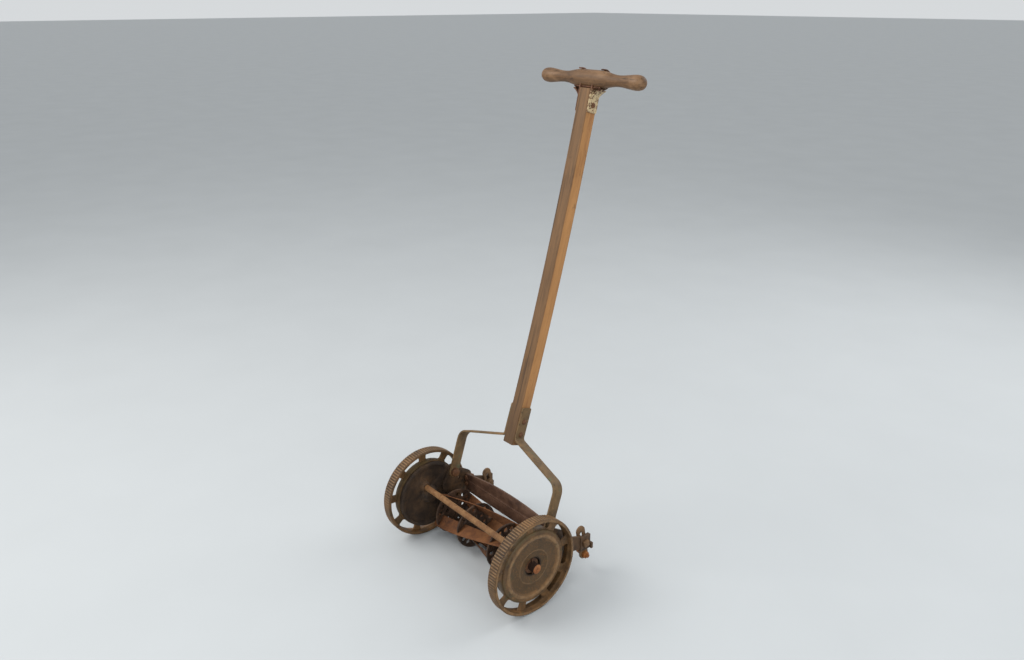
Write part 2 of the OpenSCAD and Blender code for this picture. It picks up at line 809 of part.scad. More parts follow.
module fork_bar() {
    path = fork_line();
    color("#6f5a3c") on_handle() difference() {
        union() {
            rotate([90, 0, 0]) linear_extrude(fork_w, center = true)
                polygon(concat(sidestep(path, fork_t / 2), backward(sidestep(path, -fork_t / 2))));
            translate([fork_mid - fork_t / 2, 0, 0]) rotate([0, 90, 0]) cylinder(r = eye_r, h = fork_t);
        }
        rotate([0, 90, 0]) cylinder(r = pivot_r + run_fit, h = 2 * fork_out);
        for (z = rivet_z) translate([0, 0, z]) rotate([0, 90, 0]) cylinder(r = rivet_r, h = 2 * shaft_w);
    }
}

module fork_bar_right() { fork_bar(); }
module fork_bar_left() { mirror([1, 0, 0]) fork_bar(); }

module fork_rivets() {
    color("#5b4636") on_handle() for (z = rivet_z) translate([0, 0, z]) rotate([0, 90, 0]) {
        cylinder(r = rivet_r, h = shaft_w + 2 * fork_t, center = true);
        both_ends() translate([0, 0, shaft_w / 2 + fork_t]) cylinder(r1 = rivet_head_r, r2 = 4.5, h = 4);
    }
}

// A piece and its mirror image along Z
module both_ends() {
    children();
    mirror([0, 0, 1]) children();
}

// Frame at the top of the bowed shaft, with its origin on the grip's axis
module on_grip() {
    on_handle() translate([0, -bow_r, shaft_start]) rotate([shaft_bend, 0, 0]) translate([0, bow_r, 0]) children();
}

// Bowed wooden shaft with chamfered edges
module handle_shaft() {
    cut = 2.5;
    w = shaft_w / 2;
    d = shaft_depth / 2;
    color("#9a6f3f") difference() {
        on_handle() translate([0, -bow_r, shaft_start]) axial()
            rotate_extrude(angle = shaft_bend, $fn = bow_fn) translate([bow_r, 0]) polygon([
                [-d, cut - w], [cut - d, -w], [d - cut, -w], [d, cut - w],
                [d, w - cut], [d - cut, w], [cut - d, w], [-d, w - cut]
            ]);
        on_grip() rotate([0, 90, 0]) cylinder(r = cradle_out_r, h = 2 * shaft_w, center = true);
        on_handle() for (z = rivet_z) translate([0, 0, z]) rotate([0, 90, 0])
            cylinder(r = rivet_r, h = 2 * shaft_w, center = true);
        saddle_bolt_places() cylinder(r = saddle_bolt_r, h = 2 * shaft_w, center = true);
    }
}

module saddle_bolt_places() {
    on_grip() for (drop = saddle_bolt_drop) translate([0, 0, -drop]) rotate([0, 90, 0]) children();
}

// Turned wooden cross grip
module grip() {
    half = grip_len / 2;
    mid = grip_d / 2;
    neck = grip_neck_d / 2;
    bulb = grip_bulb_d / 2;
    side = [
        [cradle_half - 2, mid], [cradle_half + 8, mid - 3.2], [half * 0.4, neck + 1.6], [half * 0.48, neck],
        [half * 0.58, neck], [half * 0.7, neck + 1.8], [half * 0.8, bulb - 1], [half * 0.88, bulb],
        [half * 0.95, bulb - 2], [half * 0.99, bulb * 0.6], [half, bulb * 0.3]
    ];
    color("#8b6b4a") on_grip() rotate([0, 90, 0]) rotate_extrude() polygon(concat(
        [[0, -half]], [for (p = backward(side)) [p[1], -p[0]]], [for (p = side) [p[1], p[0]]], [[0, half]]
    ));
}

// Part of a ring round the grip with the given half length, from radius r over t, measured up from the rear
module cradle_ring(half, r, t, start, sweep) {
    translate([-half, 0, 0]) axial() rotate([0, 0, start]) rotate_extrude(angle = sweep)
        translate([r, 0]) square([t, 2 * half]);
}

// Trough under and behind the grip, two ears that reach over it, and a strap down each side of the shaft
module grip_saddle() {
    color("#b7a07a") on_grip() difference() {
        union() {
            cradle_ring(cradle_half, cradle_r, saddle_t, cradle_start, 225);
            both_sides() difference() {
                translate([shaft_w / 2, -saddle_w / 2, -saddle_len - 14]) cube([saddle_t, saddle_w, saddle_len]);
                rotate([0, 90, 0]) cylinder(r = cradle_r + 1, h = 4 * cradle_half, center = true);
            }
        }
        cradle_ring(cradle_half - ear_w, cradle_r - 2, saddle_t + 4, cradle_start + 160, 70);
        for (drop = saddle_bolt_drop) translate([0, 0, -drop]) rotate([0, 90, 0])
            cylinder(r = saddle_bolt_r, h = 2 * shaft_w, center = true);
    }
}

module saddle_bolts() {
    color("#6a4026") saddle_bolt_places() {
        cylinder(r = saddle_bolt_r, h = shaft_w + 2 * saddle_t, center = true);
        both_ends() translate([0, 0, shaft_w / 2 + saddle_t]) cylinder(r1 = 6.5, r2 = 4.5, h = 3.5);
    }
}

module handle_pivot_bolts() {
    color("#7b5236") both_sides() on_axle() {
        post(pivot_at, pivot_r, fork_out - fork_t - 12, cover_out - 3);
        post(pivot_at, pivot_head_r, cover_out - 5.5, cover_out - 0.3);
    }
}

module handle_pivot_nuts() {
    color("#6a4a34") both_sides() on_axle() difference() {
        union() {
            post(pivot_at, pivot_r + 6, fork_out - fork_t - 2.5, fork_out - fork_t - 0.4);
            translate([pivot_at[0], pivot_at[1], fork_out - fork_t - 10.5]) hexagon(19, 8.2);
        }
        post(pivot_at, pivot_r, 0, cover_out);
    }
}

side_frame_left();
side_frame_right();
wheel_spindle_left();
wheel_spindle_right();
tie_rod();
rear_cross_plate();
cross_plate_bolts();
sole_plate();
bed_knife();
bed_knife_screws();
sole_pivot_bolts();
adjusting_screws();
adjusting_lock_nuts();
roller_bracket_left();
roller_bracket_right();
roller_stub_axle_left();
roller_stub_axle_right();
bracket_clamp_bolts();
bracket_clamp_nuts();
bearing_cups();
bearing_balls();
bearing_cones();
wheel_left();
wheel_right();
hub_washers();
cotter_pins();
reel_shaft();
reel_spider_left();
reel_spider_inner_left();
reel_spider_inner_right();
reel_spider_right();
reel_blade_1();
reel_blade_2();
reel_blade_3();
reel_blade_4();
pinion_left();
pinion_right();
ratchet_dogs();
fork_bar_left();
fork_bar_right();
fork_rivets();
handle_shaft();
grip();
grip_saddle();
saddle_bolts();
handle_pivot_bolts();
handle_pivot_nuts();
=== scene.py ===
"""Looks of a side-wheel reel mower, built round its CAD frame.

Pieces are made in millimetres and finished in metres. +X is the right wheel's outboard side, +Y is the
rear, where the handle is, and +Z is up. The origin is on the ground under the middle of the wheel axis.
"""

import json
import logging
import math
from dataclasses import dataclass, field
from enum import Enum
from typing import Callable, Sequence

import bmesh
import bpy
from mathutils import Matrix, Vector

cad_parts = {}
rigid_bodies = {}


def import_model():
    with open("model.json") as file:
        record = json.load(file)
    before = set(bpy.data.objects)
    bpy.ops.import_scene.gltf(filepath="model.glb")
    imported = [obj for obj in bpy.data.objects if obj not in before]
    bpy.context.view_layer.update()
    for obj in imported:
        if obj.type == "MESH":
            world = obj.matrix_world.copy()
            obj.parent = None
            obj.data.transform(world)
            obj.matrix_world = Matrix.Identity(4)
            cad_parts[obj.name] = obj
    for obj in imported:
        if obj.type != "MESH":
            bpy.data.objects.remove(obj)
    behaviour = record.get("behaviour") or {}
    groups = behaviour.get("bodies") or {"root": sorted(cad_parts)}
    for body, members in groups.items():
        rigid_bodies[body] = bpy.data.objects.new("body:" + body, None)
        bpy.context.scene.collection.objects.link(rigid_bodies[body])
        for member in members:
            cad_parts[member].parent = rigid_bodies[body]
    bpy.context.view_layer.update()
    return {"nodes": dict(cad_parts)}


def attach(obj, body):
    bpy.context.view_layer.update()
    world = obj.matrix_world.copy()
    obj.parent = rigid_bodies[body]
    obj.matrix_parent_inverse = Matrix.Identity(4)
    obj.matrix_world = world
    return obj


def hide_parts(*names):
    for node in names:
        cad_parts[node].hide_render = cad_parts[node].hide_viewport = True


log = logging.getLogger("reel_mower")

Colour = tuple[float, float, float]
Point = tuple[float, float]
Verts = list[bmesh.types.BMVert]


class Side(Enum):
    """The two sides of the mower."""

    LEFT = -1
    RIGHT = 1

    @property
    def label(self) -> str:
        """The word that ends the names of this side's pieces."""
        return self.name.lower()

    @property
    def flip(self) -> Matrix:
        """The matrix that stands a right-hand piece on this side."""
        return Matrix.Diagonal((self.value, 1, 1, 1))


# ---------- places: (rearward, upward) from the wheel axis, in millimetres ----------

PER_METRE = 1000.0
AXLE_HEIGHT = 120.0
REEL_AT = (49.32, -49.32)
TIE_AT = (-18.0, 32.0)
PIVOT_AT = (73.0, 44.0)
SOLE_PIVOT_AT = (101.02, -99.02)
AXIAL = Matrix(((0, 0, 1, 0), (1, 0, 0, 0), (0, 1, 0, 0), (0, 0, 0, 1)))
SWAPPED = Matrix(((1, 0, 0, 0), (0, 0, 1, 0), (0, 1, 0, 0), (0, 0, 0, 1)))
ON_AXLE = Matrix.Translation((0, 0, AXLE_HEIGHT)) @ AXIAL
ON_REEL = ON_AXLE @ Matrix.Translation((*REEL_AT, 0))


def turned_to(point: Vector, direction: Vector) -> Matrix:
    """Matrix that puts local Z along a direction at a point.

    Args:
        point: Where the local origin goes, in millimetres.
        direction: Where local Z points.

    Returns:
        The matrix.
    """
    return Matrix.Translation(point) @ direction.to_track_quat("Z", "Y").to_matrix().to_4x4()


def arc(centre: Point, radius: float, start: float, finish: float, steps: int) -> list[Point]:
    """Points on an arc, with its angles in degrees.

    Args:
        centre: Centre of the arc.
        radius: Radius of the arc.
        start: Angle of the first point.
        finish: Angle of the last point.
        steps: Number of steps between the two.

    Returns:
        The points, in order.
    """
    turn = [math.radians(start + (finish - start) * i / steps) for i in range(steps + 1)]
    return [(centre[0] + radius * math.cos(a), centre[1] + radius * math.sin(a)) for a in turn]


def rounded_box(width: float, depth: float, radius: float, steps: int = 2) -> list[Point]:
    """Outline of a rectangle round the origin with rounded corners.

    Args:
        width: Size along the first axis.
        depth: Size along the second axis.
        radius: Radius of the corners.
        steps: Number of steps in a corner.

    Returns:
        The points, in order.
    """
    w, d = width / 2 - radius, depth / 2 - radius
    corners = [((w, d), 0), ((-w, d), 90), ((-w, -d), 180), ((w, -d), 270)]
    return [p for centre, a in corners for p in arc(centre, radius, a, a + 90, steps)]


# ---------- meshes ----------


class Shape:
    """A mesh in the making, in millimetres."""

    def __init__(self) -> None:
        """Starts with an empty mesh."""
        self.mesh = bmesh.new()
        self.own = self.mesh.verts.layers.float_vector.new("own")

    @classmethod
    def of_node(cls, name: str, edge: float, segments: int = 2, angle: float = 40) -> "Shape":
        """A merged copy of a CAD node's mesh with its edges rounded.

        Args:
            name: The node's name.
            edge: Width of the bevel on its edges.
            segments: Number of segments in that bevel.
            angle: Smallest angle between two faces that counts as an edge, in degrees.

        Returns:
            The new shape.
        """
        made = cls()
        bm = made.mesh
        bm.from_mesh(bpy.data.objects[name].data)
        layers = bm.verts.layers.float_vector
        made.own = layers.get("own") or layers.new("own")
        bmesh.ops.scale(bm, vec=[PER_METRE] * 3, verts=bm.verts)
        bmesh.ops.remove_doubles(bm, verts=bm.verts, dist=0.01)
        bmesh.ops.dissolve_limit(bm, angle_limit=math.radians(1), verts=bm.verts, edges=bm.edges)
        made.round_off(bm.verts, edge, segments, angle)
        return made

    def fresh(self, make: Callable[[], object]) -> Verts:
        """Runs a step and gives the vertices that it added.

        Args:
            make: The step.

        Returns:
            The new vertices.
        """
        old = set(self.mesh.verts)
        make()
        return [v for v in self.mesh.verts if v not in old]

    def round_off(
        self, verts: Sequence[bmesh.types.BMVert], width: float, segments: int = 2, angle: float = 35
    ) -> None:
        """Bevels the edges between these vertices that are sharper than an angle.

        Args:
            verts: Vertices whose edges are looked at.
            width: Width of the bevel.
            segments: Number of its segments.
            angle: Smallest angle between two faces that counts as an edge, in degrees.
        """
        inside = set(verts)
        limit = math.radians(angle)
        shared = [e for e in self.mesh.edges if inside.issuperset(e.verts) and len(e.link_faces) == 2]
        edges = [e for e in shared if e.calc_face_angle(0) > limit]
        if edges:
            bmesh.ops.bevel(
                self.mesh, geom=edges, offset=width, segments=segments, profile=0.5, affect="EDGES",
                material=-1, clamp_overlap=True,
            )

    def turned(
        self, profile: Sequence[Point], place: Matrix, steps: int = 48, closed: bool = False
    ) -> Verts:
        """Spins a profile of (radius, height) points about local Z.

        Args:
            profile: The points of the profile.
            place: Where the turned piece goes.
            steps: Number of steps in a full turn.
            closed: True if the last point joins the first.

        Returns:
            The new vertices.
        """
        bm = self.mesh

        def spin() -> None:
            """Draws the profile and spins it."""
            verts = [bm.verts.new((r, 0, h)) for r, h in profile]
            joined = list(zip(verts, verts[1:])) + ([(verts[-1], verts[0])] if closed else [])
            edges = [bm.edges.new(pair) for pair in joined]
            bmesh.ops.spin(
                bm, geom=verts + edges, cent=(0, 0, 0), axis=(0, 0, 1), angle=2 * math.pi, steps=steps,
                use_merge=True, use_duplicate=False,
            )

        made = self.fresh(spin)
        bmesh.ops.remove_doubles(bm, verts=made, dist=0.001)
        made = [v for v in made if v.is_valid]
        bmesh.ops.transform(bm, matrix=place, verts=made)
        return made

    def plate(
        self, outline: Sequence[Point], low: float, high: float, place: Matrix, edge: float = 0.0,
        segments: int = 2,
    ) -> Verts:
        """Raises a flat outline from one height to another along local Z.

        Args:
            outline: Points of the outline, in order.
            low: Height of the lower face.
            high: Height of the upper face.
            place: Where the plate goes.
            edge: Width of the bevel on its sharp edges, or 0.
            segments: Number of segments in that bevel.

        Returns:
            The new vertices.
        """
        bm = self.mesh

        def raise_it() -> None:
            """Draws the outline, extrudes it and bevels it."""
            face = bm.faces.new([bm.verts.new((x, y, low)) for x, y in outline])
            lifted = bmesh.ops.extrude_face_region(bm, geom=[face])["geom"]
            top = [v for v in lifted if isinstance(v, bmesh.types.BMVert)]
            bmesh.ops.translate(bm, verts=top, vec=(0, 0, high - low))
            if edge:
                self.round_off([v for v in face.verts] + top, edge, segments)

        made = self.fresh(raise_it)
        bmesh.ops.transform(bm, matrix=place, verts=made)
        return made

    def swept(
        self, section: Sequence[Point], stations: Sequence[Matrix], lengths: Sequence[float] | None = None
    ) -> Verts:
        """Extrudes a closed section through a row of stations.

        Args:
            section: Points of the section in a station's XY plane.
            stations: Matrices that place the section, in order.
            lengths: Distance along the piece at each station, kept with its vertices.

        Returns:
            The new vertices.
        """
        bm = self.mesh

        def sweep() -> None:
            """Draws the section and extrudes it from station to station."""
            verts = [bm.verts.new((x, y, 0)) for x, y in section]
            for v in verts:
                v[self.own] = (v.co.x, v.co.y, lengths[0] if lengths else 0)
            face = bm.faces.new(verts)
            bmesh.ops.transform(bm, matrix=stations[0], verts=verts)
            for k in range(1, len(stations)):
                lifted = bmesh.ops.extrude_face_region(bm, geom=[face])["geom"]
                face = next(f for f in lifted if isinstance(f, bmesh.types.BMFace))
                step = stations[k] @ stations[k - 1].inverted()
                bmesh.ops.transform(bm, matrix=step, verts=list(face.verts))
                if lengths:
                    for v in face.verts:
                        x, y, _ = v[self.own]
                        v[self.own] = (x, y, lengths[k])

        return self.fresh(sweep)

    def rod(
        self, radius: float, low: float, high: float, place: Matrix, edge: float = 0.6, steps: int = 32
    ) -> None:
        """A round bar with bevelled ends along local Z.

        Args:
            radius: Radius of the bar.
            low: Height of its lower end.
            high: Height of its upper end.
            place: Where it goes.
            edge: Size of the bevel at its ends.
            steps: Number of sides.
        """
        e = min(edge, radius * 0.4)
        near = e * 0.3
        profile = [
            (0, low), (radius - e, low), (radius - near, low + near), (radius, low + e),
            (radius, high - e), (radius - near, high - near), (radius - e, high), (0, high),
        ]
        self.turned(profile, place, steps)

    def washer(
        self, bore: float, radius: float, low: float, high: float, place: Matrix, edge: float = 0.4,
        steps: int = 40,
    ) -> None:
        """A flat ring with chamfered outer edges.

        Args:
            bore: Radius of its bore.
            radius: Its outer radius.
            low: Height of its lower face.
            high: Height of its upper face.
            place: Where it goes.
            edge: Size of the chamfer.
            steps: Number of sides.
        """
        profile = [
            (bore, low), (radius - edge, low), (radius, low + edge),
            (radius, high - edge), (radius - edge, high), (bore, high),
        ]
        self.turned(profile, place, steps, closed=True)

    def hexagon(self, across: float, low: float, high: float, place: Matrix, turn: float = 0) -> None:
        """A hexagonal head or nut with its corners turned down.

        Args:
            across: Distance across its flats.
            low: Height of its lower face.
            high: Height of its upper face.
            place: Where it goes.
            turn: Angle that it is turned by, in degrees.
        """
        outline = arc((0, 0), across / math.sqrt(3), turn, turn + 300, 5)
        self.plate(outline, low, high, place, edge=min(0.9, (high - low) * 0.2))

    def dome(self, radius: float, height: float, place: Matrix, sink: float = 0.6) -> None:
        """A rounded rivet or bolt head that stands on local Z 0.

        Args:
            radius: Radius of its foot.
            height: Height of its crown.
            place: Where it goes.
            sink: How far its foot reaches below 0.
        """
        rise = [math.radians(a) for a in (0, 18, 36, 54, 72, 90)]
        profile = [(0, -sink), (radius * 0.97, -sink)] + [
            (radius * math.cos(a) ** 0.75 if a < 1.5 else 0, height * math.sin(a)) for a in rise
        ]
        self.turned(profile, place, 28)

    def done(
        self, name: str, finish: "Finish", body: str, slot: str, replaces: Sequence[str] = (), sharp: float = 40
    ) -> bpy.types.Object:
        """Turns the shape into a finished piece that rides on a body.

        Args:
            name: Name of the piece.
            finish: Its finish.
            body: The CAD body that it rides on.
            slot: The record's material slot; not used.
            replaces: The CAD nodes that it stands for.
            sharp: Edges sharper than this angle stay sharp, in degrees.

        Returns:
            The new object.
        """
        bm = self.mesh
        bmesh.ops.remove_doubles(bm, verts=bm.verts, dist=1e-4)
        bmesh.ops.recalc_face_normals(bm, faces=bm.faces)
        bmesh.ops.scale(bm, vec=[1 / PER_METRE] * 3, verts=bm.verts)
        data = bpy.data.meshes.new(name)
        bm.to_mesh(data)
        bm.free()
        data.shade_smooth()
        data.set_sharp_from_angle(angle=math.radians(sharp))
        data.materials.clear()
        data.materials.append(finish.material())
        piece = bpy.data.objects.new(name, data)
        bpy.context.scene.collection.objects.link(piece)
        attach(piece, body)
        if replaces:
            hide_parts(*replaces)
        log.info("%s: %d faces on %s", name, len(data.polygons), body)
        return piece


# ---------- shader maths ----------


class Value:
    """A number, colour or vector in a node tree, with arithmetic that adds its nodes."""

    def __init__(self, tree: "Tree", socket: bpy.types.NodeSocket) -> None:
        """Wraps a socket of a tree."""
        self.tree, self.socket = tree, socket

    def __add__(self, other: "Value | float") -> "Value":
        """Sum."""
        return self.tree.maths("ADD", self, other)

    __radd__ = __add__

    def __sub__(self, other: "Value | float") -> "Value":
        """Difference."""
        return self.tree.maths("SUBTRACT", self, other)

    def __rsub__(self, other: "Value | float") -> "Value":
        """Difference from a number."""
        return self.tree.maths("SUBTRACT", other, self)

    def __mul__(self, other: "Value | float") -> "Value":
        """Product."""
        return self.tree.maths("MULTIPLY", self, other)

    __rmul__ = __mul__

    def __truediv__(self, other: "Value | float") -> "Value":
        """Quotient."""
        return self.tree.maths("DIVIDE", self, other)

    def absolute(self) -> "Value":
        """Size without its sign."""
        return self.tree.maths("ABSOLUTE", self, 0.0)

    def most(self, other: "Value | float") -> "Value":
        """The larger of two values."""
        return self.tree.maths("MAXIMUM", self, other)

    def between(self, low: float, high: float) -> "Value":
        """Smooth step between two values.

        Args:
            low: Where it is 0.
            high: Where it is 1.

        Returns:
            The step, from 0 to 1.
        """
        span = {"Value": self, "From Min": low, "From Max": high}
        node = self.tree.add("ShaderNodeMapRange", {"interpolation_type": "SMOOTHSTEP"}, span)
        return Value(self.tree, node.outputs["Result"])

    def band(self, centre: float, half: float) -> "Value":
        """1 at a value, falling smoothly to 0 at a distance from it."""
        return 1 - (self - centre).absolute().between(half * 0.35, half)


class Tree:
    """Builds one material's nodes."""

    def __init__(self, name: str) -> None:
        """Starts a material with a Principled shader.

        Args:
            name: Name of the material.
        """
        self.material = bpy.data.materials.new(name)
        self.material.use_nodes = True
        self.nodes = self.material.node_tree.nodes
        self.links = self.material.node_tree.links
        self.shader = self.nodes["Principled BSDF"]

    def add(self, kind: str, settings: dict | None = None, inputs: dict | None = None) -> bpy.types.Node:
        """Adds a node.

        Args:
            kind: The node's type.
            settings: Its properties, set first; "stops" are a colour ramp's.
            inputs: Values or links for its sockets.

        Returns:
            The node.
        """
        node = self.nodes.new(kind)
        for key, value in (settings or {}).items():
            if key == "stops":
                ramp = node.color_ramp
                ramp.elements.remove(ramp.elements[-1])
                ramp.elements[0].position, ramp.elements[0].color = value[0][0], (*value[0][1], 1)
                for place, colour in value[1:]:
                    ramp.elements.new(place).color = (*colour, 1)
            else:
                setattr(node, key, value)
        for key, value in (inputs or {}).items():
            if isinstance(value, Value):
                self.links.new(value.socket, node.inputs[key])
            else:
                node.inputs[key].default_value = value
        return node

    def maths(self, operation: str, first: Value | float, second: Value | float) -> Value:
        """One Math node on two numbers."""
        node = self.add("ShaderNodeMath", {"operation": operation}, {0: first, 1: second})
        return Value(self, node.outputs[0])

    def length(self, first: Value, second: Value) -> Value:
        """Length of the hypotenuse on two sides."""
        return self.maths("SQRT", first * first + second * second, 0.0)

    def place(self) -> Value:
        """The point on the object, in metres."""
        return Value(self, self.add("ShaderNodeTexCoord").outputs["Object"])

    def attribute(self, name: str) -> Value:
        """A vector that the mesh carries."""
        return Value(self, self.add("ShaderNodeAttribute", {"attribute_name": name}).outputs["Vector"])

    def stretched(self, at: Value, scale: Colour, shift: Colour = (0, 0, 0)) -> Value:
        """Coordinates scaled and moved.

        Args:
            at: The coordinates.
            scale: Scale along each axis.
            shift: Move along each axis, in metres.

        Returns:
            The new coordinates.
        """
        inputs = {"Vector": at, "Location": shift, "Scale": scale}
        return Value(self, self.add("ShaderNodeMapping", {"vector_type": "POINT"}, inputs).outputs[0])

    def parts(self, at: Value) -> tuple[Value, Value, Value]:
        """The three numbers of a vector."""
        node = self.add("ShaderNodeSeparateXYZ", None, {0: at})
        return tuple(Value(self, s) for s in node.outputs)

    def noise(
        self, at: Value, scale: float, detail: float = 4, roughness: float = 0.55, distortion: float = 0
    ) -> Value:
        """Cloudy noise from 0 to 1.

        Args:
            at: Coordinates.
            scale: How fine the clouds are.
            detail: Number of finer layers.
            roughness: Strength of the finer layers.
            distortion: How far the clouds are dragged about.

        Returns:
            The noise.
        """
        inputs = {"Vector": at, "Scale": scale, "Detail": detail, "Roughness": roughness, "Distortion": distortion}
        return Value(self, self.add("ShaderNodeTexNoise", None, inputs).outputs[0])

    def pits(self, at: Value, scale: float) -> Value:
        """Distance to the nearest of many scattered points."""
        node = self.add("ShaderNodeTexVoronoi", {"feature": "SMOOTH_F1"}, {"Vector": at, "Scale": scale})
        return Value(self, node.outputs["Distance"])

    def ramp(self, share: Value, stops: Sequence[tuple[float, Colour]]) -> Value:
        """A colour between stops."""
        return Value(self, self.add("ShaderNodeValToRGB", {"stops": stops}, {0: share}).outputs[0])

    def mix(self, low: Value | Colour, high: Value | Colour, share: Value | float) -> Value:
        """A mix of two colours.

        Args:
            low: The colour at a share of 0.
            high: The colour at a share of 1.
            share: How much of the second colour there is.

        Returns:
            The mixed colour.
        """
        low, high = (v if isinstance(v, Value) else (*v, 1) for v in (low, high))
        node = self.add("ShaderNodeMix", {"data_type": "RGBA"}, {0: share, 6: low, 7: high})
        return Value(self, node.outputs[2])

    def dress(
        self, colour: Value, roughness: Value, height: Value, relief: float, metallic: float = 0.0,
        depth: float = 0.0008,
    ) -> bpy.types.Material:
        """Links the results to the shader.

        Args:
            colour: Base colour.
            roughness: Roughness.
            height: Height of the surface's relief, from 0 to 1.
            relief: Strength of the bump.
            metallic: How metallic the surface is.
            depth: Depth of the relief, in metres.

        Returns:
            The material.
        """
        bump = self.add("ShaderNodeBump", None, {"Strength": relief, "Distance": depth, "Height": height})
        self.links.new(bump.outputs[0], self.shader.inputs["Normal"])
        self.links.new(colour.socket, self.shader.inputs["Base Color"])
        self.links.new(roughness.socket, self.shader.inputs["Roughness"])
        self.shader.inputs["Metallic"].default_value = metallic
        self.shader.inputs["Specular IOR Level"].default_value = 0.35
        return self.material


# ---------- finishes ----------


class Finish:
    """A finish whose material is made once."""

    name: str
    made: dict[str, bpy.types.Material] = {}

    def build(self, tree: Tree) -> bpy.types.Material:
        """Makes the material in a tree; each finish has its own way."""
        raise NotImplementedError(self.name)

    def material(self) -> bpy.types.Material:
        """The finish's material, made when it is first asked for."""
        if self.name not in Finish.made:
            Finish.made[self.name] = self.build(Tree(self.name))
        return Finish.made[self.name]


def shade(colour: Colour, factor: float) -> Colour:
    """A colour made darker or brighter, with no part over 1."""
    return tuple(min(1.0, part * factor) for part in colour)


@dataclass(frozen=True)
class Rust(Finish):
    """Rusted iron in three tones, with dirt and, if asked, paint left in patches."""

    name: str
    dark: Colour
    body: Colour
    bright: Colour
    paint: Colour = (0.06, 0.062, 0.034)
    paint_share: float = 0.0
    patch: float = 42.0
    roughness: float = 0.66
    metallic: float = 0.12
    relief: float = 0.55

    def layers(self, tree: Tree, at: Value) -> tuple[Value, Value, Value]:
        """Colour, roughness and height of the rust.

        Args:
            tree: The material's tree.
            at: Coordinates, in metres.

        Returns:
            The three values.
        """
        broad = tree.noise(at, self.patch * 0.3, 3, 0.5)
        mottle = tree.noise(at, self.patch, 7, 0.68, 0.4)
        grit = tree.noise(at, 620, 3, 0.6)
        pit = tree.pits(at, 330).between(0.12, 0.5)
        tone = broad * 0.45 + mottle * 0.75 - 0.1
        colour = tree.ramp(tone, [(0.3, self.dark), (0.47, self.body), (0.66, self.bright)])
        flake = tree.noise(at, self.patch * 4.5, 5, 0.7)
        colour = tree.mix(colour, shade(self.dark, 0.4), flake.between(0.56, 0.7) * 0.75)
        colour = tree.mix(colour, shade(self.bright, 1.7), (1 - flake).between(0.6, 0.72) * 0.5)
        if self.paint_share:
            edge = 0.66 - 0.3 * self.paint_share
            left = tree.noise(tree.stretched(at, (1, 1, 1), shift=(0.3, 0.1, 0.2)), self.patch * 0.9, 6, 0.7, 0.3)
            colour = tree.mix(colour, self.paint, left.between(edge, edge + 0.035) * 0.8)
        colour = tree.mix(colour, (0, 0, 0), grit.between(0.5, 0.8) * 0.35)
        rough = self.roughness + (mottle - 0.5) * 0.3 + (grit - 0.5) * 0.1
        height = mottle * 0.35 + grit * 0.25 + pit * 0.3 + flake * 0.2
        return colour, rough, height

    def build(self, tree: Tree) -> bpy.types.Material:
        """Makes the material.

        Args:
            tree: The tree to build it in.

        Returns:
            The material.
        """
        colour, rough, height = self.layers(tree, tree.place())
        return tree.dress(colour, rough, height, self.relief, self.metallic)


@dataclass(frozen=True)
class SpindleRust(Rust):
    """Bright rust on a spindle's bare end over near-black sides."""

    bare_from: Point = (0.2318, 0.2332)

    def build(self, tree: Tree) -> bpy.types.Material:
        """Makes the material.

        Args:
            tree: The tree to build it in.

        Returns:
            The material.
        """
        at = tree.place()
        colour, rough, height = self.layers(tree, at)
        bare = tree.parts(at)[0].absolute().between(*self.bare_from)
        # near black everywhere but the bare end face
        colour = tree.mix(shade(self.dark, 0.2), colour, bare)
        return tree.dress(colour, rough, height, self.relief, self.metallic)


@dataclass(frozen=True)
class FrameRust(Rust):
    """Dark casting with browner rust and a painted highlight round the tie rod's boss and on the arms behind the
    drum.
    """

    # browner rust colour, also used as a painted highlight
    warm: Colour = (0.095, 0.05, 0.023)
    boss_reach: Point = (0.012, 0.036)
    arms_from: Point = (0.045, 0.075)

    def build(self, tree: Tree) -> bpy.types.Material:
        """Makes the material.

        Args:
            tree: The tree to build it in.

        Returns:
            The material.
        """
        at = tree.place()
        colour, rough, height = self.layers(tree, at)
        _, y, z = tree.parts(at)
        boss = 1 - tree.length(y - TIE_AT[0] / PER_METRE, z - (AXLE_HEIGHT + TIE_AT[1]) / PER_METRE).between(
            *self.boss_reach
        )
        # browner rust and a painted highlight in patches round the tie rod's boss and on the arms behind the drum
        share = boss.most(y.between(*self.arms_from)) * tree.noise(at, 45, 5, 0.65).between(0.36, 0.58)
        colour = tree.mix(colour, self.warm, share * 0.85)
        return tree.dress(colour, rough, height, self.relief, self.metallic)


